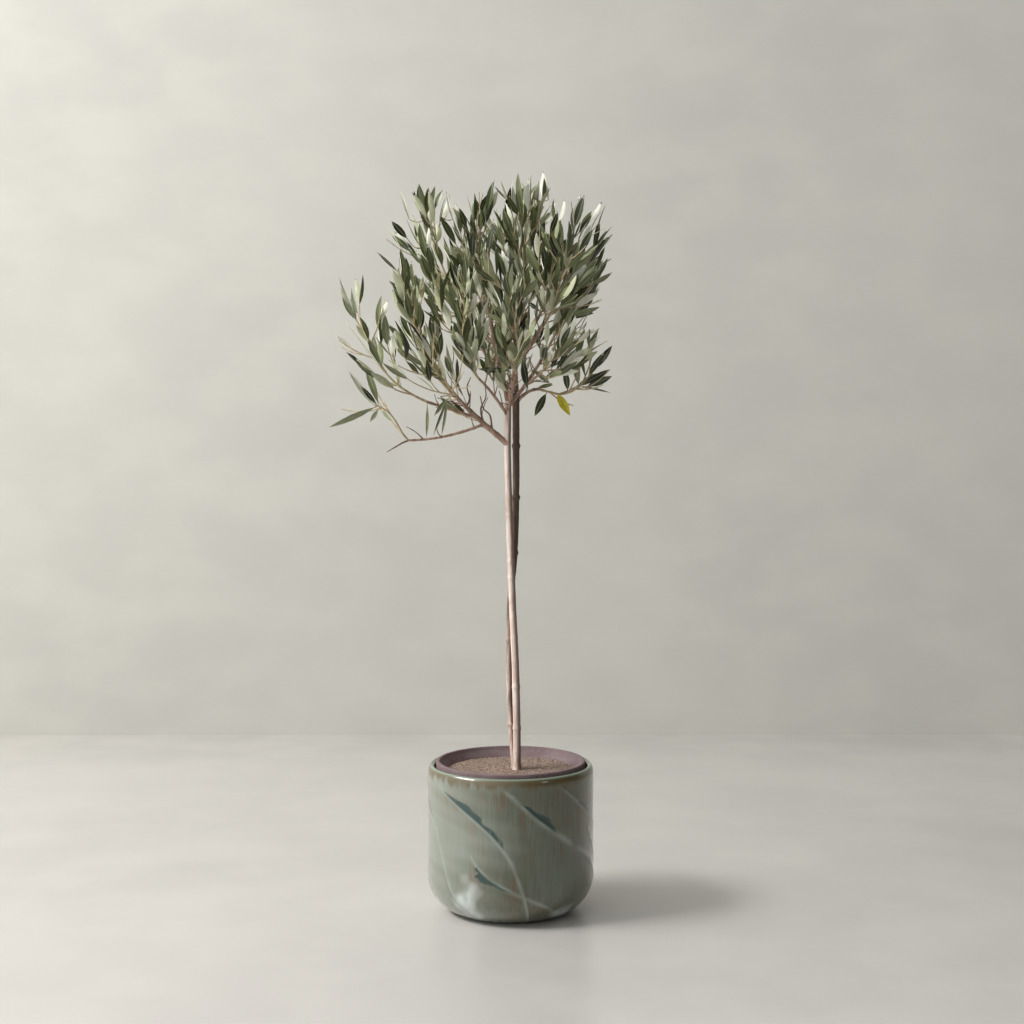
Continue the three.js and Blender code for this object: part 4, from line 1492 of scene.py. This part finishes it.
def bark_material(name, lit, shade, streak, foot=None, painted_side_shade=None):
    """Smooth young bark with long streaks, small pores and fine wrinkles.

    A stem may be paler near its foot, and carry painted shade on its side away from the lights."""
    paint = Paint(name, lit, 0.62)
    if foot:
        paint.over(paint.across("Object", "Z", *FOOT_FADE), foot)
    paint.over(paint.mottle(150, 9, 0.35, 0.7, 4), shade, 0.75)
    paint.over(paint.mottle(60, 2.5, 0.5, 0.75, 3), streak, 0.6)
    paint.over(paint.mottle(520, 1.5, 0.64, 0.72, 2), shade, 0.6)
    if painted_side_shade:
        # Painted shade on the side that faces +X, away from the lights.
        paint.over(paint.across("Normal", "X", *SIDE_SHADE_FADE), painted_side_shade, 0.85)
    paint.bump(paint.mottle(420, 7, 0.2, 0.8, 4), 0.0007, 0.6)
    return paint.material


def stem_barks():
    """The pale bark of the front stem and the brown bark of the back one, each with its slot."""
    # The last colour of each stem is painted shade for its side away from the lights.
    pale = bark_material(
        "pale_stem_bark",
        srgb(240, 224, 213),
        srgb(196, 168, 153),
        srgb(166, 132, 114),
        painted_side_shade=srgb(120, 96, 82),
    )
    dark = bark_material(
        "brown_stem_bark",
        srgb(112, 92, 76),
        srgb(70, 55, 46),
        srgb(150, 128, 108),
        foot=srgb(222, 198, 184),
        painted_side_shade=srgb(80, 65, 54),
    )
    return {"stem_front": (pale, "pale_bark"), "stem_back": (dark, "dark_bark")}


def leafy_shoots(masses, stalks):
    """Every shoot, twig, finer shoot and stalk that bears leaves, with its radii."""
    shoots = []
    for name, mass in masses.items():
        bough_end = BOUGHS[MASSES[name][0]][3][1]
        shoots.append(twig_limb(mass["stem"], bough_end, MAIN_SHOOT_TIP))
        shoots += [twig_limb(twig, *SHOOT_RADII["twig"]) for twig in mass["twigs"]]
        shoots += [twig_limb(shoot, *SHOOT_RADII["twiglet"]) for shoot in mass["fine"]]
    return shoots + [twig_limb(stalk, *SHOOT_RADII["stalk"]) for stalk in stalks]


def make_wood(limbs, masses, stalks):
    tube = tube_tree()
    stems = stem_barks()
    ruddy = bark_material("bough_bark", srgb(176, 146, 128), srgb(118, 88, 74), srgb(202, 180, 160))
    dry = bark_material("dry_twig_bark", srgb(126, 98, 84), srgb(84, 62, 54), srgb(150, 124, 106))
    tan = bark_material("twig_bark", srgb(198, 180, 144), srgb(150, 128, 96), srgb(214, 206, 170))

    def add_bark(name, ways, bark, slot, relief, replaced=()):
        sides, depth, grain = RELIEF[relief]
        values = {"Sides": sides, "Relief": depth, "Grain": grain, "Bark": bark}
        add_object(name, grown_mesh(name, curve_of(name, ways), tube, values), [], slot, replaced)

    for name, (bark, slot) in stems.items():
        add_bark(name + "_bark", [stem_limb(name)], bark, slot, "stem", [name])
    boughs = [bough_limb(name, limbs) for name in BOUGHS]
    add_bark("bough_bark", boughs, ruddy, "pale_bark", "bough", list(BOUGHS))
    add_bark("twigs", leafy_shoots(masses, stalks), tan, "pale_bark", "twig")
    bare = [twig_limb(spur, *SPUR["radii"]) for spur in grow_spurs(limbs)]
    bare += [twig_limb(np.array(twig, float), *SHOOT_RADII["bare"]) for twig in BARE_TWIGS]
    add_bark("bare_twigs", bare, dry, "dark_bark", "bare")


# ---- Leaves ----------------------------------------------------------------------------------------

STATIONS = np.array([0, 0.07, 0.17, 0.33, 0.52, 0.71, 0.88, 1.0])
STALK_HALF_WIDTH = 0.6
RIB_HALF_WIDTH = 0.34
LEAF_THICKNESS = 0.7
UPPER_TINTS = [(38, 45, 25), (56, 65, 37), (84, 93, 57), (112, 119, 82), (146, 152, 116)]
UNDER_TINTS = [(146, 152, 116), (180, 184, 154), (222, 223, 206)]
RIB_TINT = (150, 156, 106)
YELLOW_TINT = (232, 218, 42)
STRAY_TONES = {"dark": 0.12, "dusky": 0.35, "fresh": 0.65, "grey": 0.88, "silver": 0.97, "yellow": 2.0}
SILVER_FROM = 0.95


def leaf_material(name, colour, roughness, cloud, under=False):
    paint = Paint(name, srgb(*colour), roughness, {"Specular IOR Level": 0.35 if under else 0.5})
    paint.over(paint.mottle(70, 1, 0.3, 0.75, 3), srgb(*(min(255, int(c * cloud)) for c in colour)), 0.8)
    return paint.material


def leaf_materials():
    """The tints of the upper faces and the under faces, then the rib's and the yellow leaf's."""
    materials = []
    for k, tint in enumerate(UPPER_TINTS):
        materials.append(leaf_material(f"leaf_upper_{k + 1}", tint, 0.34, 0.82))
    for k, tint in enumerate(UNDER_TINTS):
        materials.append(leaf_material(f"leaf_under_{k + 1}", tint, 0.75, 1.1, under=True))
    materials.append(leaf_material("leaf_rib", RIB_TINT, 0.6, 0.9))
    materials.append(leaf_material("leaf_yellow", YELLOW_TINT, 0.5, 0.75))
    return materials


def leaf_half_widths(half_widths):
    """The half width of each leaf at each station: a slim stalk, then a blade widest past its middle."""
    share = np.clip((STATIONS - 0.05) / 0.95, 0, 1)
    outline = np.sin(math.pi * share**0.95) ** 0.85
    widths = half_widths[:, None] * outline[None, :]
    return np.maximum(widths, np.where(STATIONS < 0.9, STALK_HALF_WIDTH, 0.12))


def leaf_columns(leaves):
    """The five long edges of every leaf: margin, rib, rib, margin and the keel below."""
    column = {key: np.array([leaf[key] for leaf in leaves]) for key in leaves[0]}
    along, across = column["along"][:, None], column["across"][:, None]
    upper = np.cross(across, along)
    t = STATIONS[None, :, None]
    length, curl, sweep, twist, fold = (
        column[key][:, None, None] for key in ("length", "curl", "sweep", "twist", "fold")
    )
    rib = column["root"][:, None] + length * (along * t - upper * curl * t**2 + across * sweep * t**2)
    lifted = upper + along * 2 * curl * t
    lifted /= np.linalg.norm(lifted, axis=2, keepdims=True)
    side = across * np.cos(twist * t) + lifted * np.sin(twist * t)
    face = lifted * np.cos(twist * t) - across * np.sin(twist * t)
    width = leaf_half_widths(column["half_width"])[:, :, None]
    rise = fold * width * np.clip(t * 6 - 0.3, 0, 1)
    rib_width = np.minimum(RIB_HALF_WIDTH, 0.6 * width)
    thick = LEAF_THICKNESS * np.clip(1.15 - t, 0.25, 1)
    edges = (
        rib - side * width + face * rise,
        rib - side * rib_width,
        rib + side * rib_width,
        rib + side * width + face * rise,
        rib - face * thick,
    )
    return np.stack(edges, axis=2), column


def leaf_faces():
    """One leaf's triangles and the kind of each: 0 upper, 1 rib, 2 under. Both faces split the same way."""
    faces, kinds = [], []
    for station in range(len(STATIONS) - 1):
        for k, (kind, leaning) in enumerate(((0, 1), (1, 0), (0, 0), (2, 1), (2, 0))):
            a, b = station * 5 + k, station * 5 + (k + 1) % 5
            if leaning:
                faces += [(a, b, a + 5), (b, b + 5, a + 5)]
            else:
                faces += [(a, b, b + 5), (a, b + 5, a + 5)]
            kinds += [kind, kind]
    end = 5 * (len(STATIONS) - 1)
    for corners in ((0, 4, 1), (1, 4, 2), (2, 4, 3)):
        faces += [corners, tuple(end + k for k in reversed(corners))]
        kinds += [2, 2]
    return np.array(faces), np.array(kinds)


def leaf_mesh(name, leaves):
    """Closed leaf blades: an upper face folded along a narrow rib, and a keeled lower face."""
    edges, column = leaf_columns(leaves)
    vertices = edges.reshape(-1, 3) * MM
    faces, kinds = leaf_faces()
    each = 5 * len(STATIONS)
    starts = (np.arange(len(leaves)) * each)[:, None, None]
    mesh = bpy.data.meshes.new(name)
    mesh.from_pydata(vertices.tolist(), [], (starts + faces[None]).reshape(-1, 3).tolist())
    paint_leaves(mesh, column, kinds)
    sharpen_margins(mesh, each)
    return mesh


def paint_leaves(mesh, column, kinds):
    """Deals the plain tints out: every spray has a tone of its own, and its leaves stay near it."""
    stray = column["spray"] < 0
    tone = np.array([seeded_random(int(spray) * 7 + 3)() for spray in column["spray"]])
    value = np.where(stray, column["tone"], np.clip(0.5 * tone + 0.5 * column["tone"], 0, 0.999))
    under_value = np.where(stray, column["tone"], (column["tone"] * 7.3 + tone) % 1)
    rib = len(UPPER_TINTS) + len(UNDER_TINTS)
    upper = (np.minimum(value, 0.999) * len(UPPER_TINTS)).astype(int)
    under = len(UPPER_TINTS) + (np.minimum(under_value, 0.999) * len(UNDER_TINTS)).astype(int)
    upper = np.where(stray & (value > SILVER_FROM), under, upper)
    upper = np.where(value > 1, rib + 1, upper)
    under = np.where(value > 1, rib + 1, under)
    index = np.where(kinds == 0, upper[:, None], np.where(kinds == 1, rib, under[:, None]))
    mesh.polygons.foreach_set("material_index", index.reshape(-1).astype(np.int32))
    mesh.polygons.foreach_set("use_smooth", np.ones(index.size, bool))


def sharpen_margins(mesh, each):
    """Marks the leaf margins sharp, so that the two faces shade apart."""
    ends = np.empty(len(mesh.edges) * 2, np.int32)
    mesh.edges.foreach_get("vertices", ends)
    columns = ends.reshape(-1, 2) % each % 5
    margin = (columns[:, 0] == columns[:, 1]) & ((columns[:, 0] == 0) | (columns[:, 0] == 3))
    mesh.edges.foreach_set("use_edge_sharp", margin)


def make_leaves(masses):
    materials = leaf_materials()
    for name, mass in masses.items():
        piece = name.replace("leaves", "leaf_spray")
        mesh = leaf_mesh(piece, mass["leaves"])
        add_object(piece, mesh, materials, "foliage", [name])


# ---- Room, light and camera ------------------------------------------------------------------------

CAMERA = {"place": (0.0021, -3.0, 0.851), "pitch": 3.76, "lens": 65.04}
WALL_Y = 1.53
ROOM = {"half": 4.0, "ground_half": 12.0, "ground_drop": 0.002, "wall_foot_shade": 0.5}


def plain_material(name, colour, roughness, wall_foot_shade=None):
    paint = Paint(name, srgb(*colour), roughness)
    # Painted shade: the floor darkens over its last stretch towards the foot of the wall.
    if wall_foot_shade:
        paint.over(paint.across("Object", "Y", WALL_Y - ROOM["wall_foot_shade"], WALL_Y), srgb(*wall_foot_shade))
    paint.over(paint.mottle(1.3, 1, 0.3, 0.7, 5), srgb(*(int(c * 0.96) for c in colour)), 0.7)
    paint.over(paint.mottle(4.5, 0.6, 0.35, 0.7, 5), srgb(*(int(c * 1.03) for c in colour)), 0.6)
    return paint.material


def wall_material():
    """Plaster on the side that faces the room. From behind, the wall lets everything through."""
    plaster = plain_material("plaster_wall", (207, 206, 198), 0.95)
    tree = plaster.node_tree
    clear = add_node(tree, "ShaderNodeBsdfTransparent")
    side = add_node(tree, "ShaderNodeNewGeometry")
    mixed = add_node(tree, "ShaderNodeMixShader")
    tree.links.new(side.outputs["Backfacing"], mixed.inputs[0])
    tree.links.new(tree.nodes["Principled BSDF"].outputs[0], mixed.inputs[1])
    tree.links.new(clear.outputs[0], mixed.inputs[2])
    tree.links.new(mixed.outputs[0], tree.nodes["Material Output"].inputs["Surface"])
    return plaster


def add_stage(name, corners, faces, materials):
    """A flat piece of the room, which is no part of the object."""
    mesh = bpy.data.meshes.new(name)
    mesh.from_pydata(corners, [], faces)
    for material in materials:
        mesh.materials.append(material)
    stage = bpy.data.objects.new(name, mesh)
    bpy.context.scene.collection.objects.link(stage)
    return mesh


def make_room():
    """A floor and a wall that meet in a plain corner, and the ground that goes on around them."""
    half, far, low = ROOM["half"], ROOM["ground_half"], -ROOM["ground_drop"]
    # The floor's last colour is painted shade along the foot of the wall.
    floor = plain_material("pale_floor", (207, 204, 199), 0.27, (196, 194, 188))
    profile = [(-half, 0.0), (WALL_Y, 0.0), (WALL_Y, half)]
    corners = [(x, y, z) for y, z in profile for x in (-half, half)]
    room = add_stage("room", corners, [(0, 1, 3, 2), (2, 3, 5, 4)], [floor, wall_material()])
    room.polygons[1].material_index = 1
    around = [(-far, -far, low), (far, -far, low), (far, far, low), (-far, far, low)]
    add_stage("ground", around, [(0, 1, 2, 3)], [floor])


def add_light(name, place, target, size, power, colour):
    light = bpy.data.lights.new(name, "AREA")
    light.shape = "RECTANGLE"
    light.size, light.size_y = size
    light.energy = power
    light.color = colour
    lamp = bpy.data.objects.new(name, light)
    lamp.location = place
    aim = np.array(target) - np.array(place)
    lamp.rotation_euler = (
        math.atan2(math.hypot(aim[0], aim[1]), -aim[2]),
        0,
        math.atan2(aim[1], aim[0]) - math.pi / 2,
    )
    bpy.context.scene.collection.objects.link(lamp)


def make_light():
    add_light("key", (-3.0, -1.0, 3.0), (0, 0, 0.5), (1.1, 0.9), 106, (1.0, 0.985, 0.97))
    add_light("side_window", (-3.15, -0.05, 2.9), (0, 0, 0.5), (0.9, 0.9), 42, (1.0, 0.985, 0.97))
    add_light("far_window", (2.8, -2.4, 1.9), (0, 0, 0.6), (0.5, 0.7), 3, (0.97, 0.98, 1.0))
    make_surroundings()


def make_surroundings():
    """A room that is bright on its left side and dim on its right. Seen past the wall, it is plain."""
    world = bpy.data.worlds.new("soft_room")
    world.use_nodes = True
    tree = world.node_tree
    direction = add_node(tree, "ShaderNodeTexCoord")
    parts = add_node(tree, "ShaderNodeSeparateXYZ")
    strength = add_node(
        tree,
        "ShaderNodeMapRange",
        {"From Min": -0.9, "From Max": 0.6, "To Min": 1.08, "To Max": 0.07},
        interpolation_type="SMOOTHSTEP",
    )
    tree.links.new(direction.outputs["Generated"], parts.inputs[0])
    tree.links.new(parts.outputs["X"], strength.inputs["Value"])
    background = tree.nodes["Background"]
    background.inputs["Color"].default_value = (0.98, 0.99, 1.0, 1.0)
    tree.links.new(strength.outputs[0], background.inputs["Strength"])
    plain = add_node(tree, "ShaderNodeBackground", {"Color": srgb(205, 205, 196), "Strength": 0.85})
    seen = add_node(tree, "ShaderNodeLightPath")
    mixed = add_node(tree, "ShaderNodeMixShader")
    tree.links.new(seen.outputs["Is Camera Ray"], mixed.inputs[0])
    tree.links.new(background.outputs[0], mixed.inputs[1])
    tree.links.new(plain.outputs[0], mixed.inputs[2])
    tree.links.new(mixed.outputs[0], tree.nodes["World Output"].inputs["Surface"])
    bpy.context.scene.world = world


def make_camera():
    lens = bpy.data.cameras.new("camera")
    lens.lens = CAMERA["lens"]
    lens.sensor_width = 36
    camera = bpy.data.objects.new("camera", lens)
    camera.location = CAMERA["place"]
    camera.rotation_euler = (math.radians(90 - CAMERA["pitch"]), 0, 0)
    bpy.context.scene.collection.objects.link(camera)
    bpy.context.scene.camera = camera


# ---- The whole picture -----------------------------------------------------------------------------

bpy.context.scene.view_settings.view_transform = "Standard"
make_camera()
make_room()
make_light()
make_cover_pot()
make_pot_contents()
LIMBS, CROWN, STALKS = grow_tree()
make_wood(LIMBS, CROWN, STALKS)
make_leaves(CROWN)
print("leaves", sum(len(mass["leaves"]) for mass in CROWN.values()))
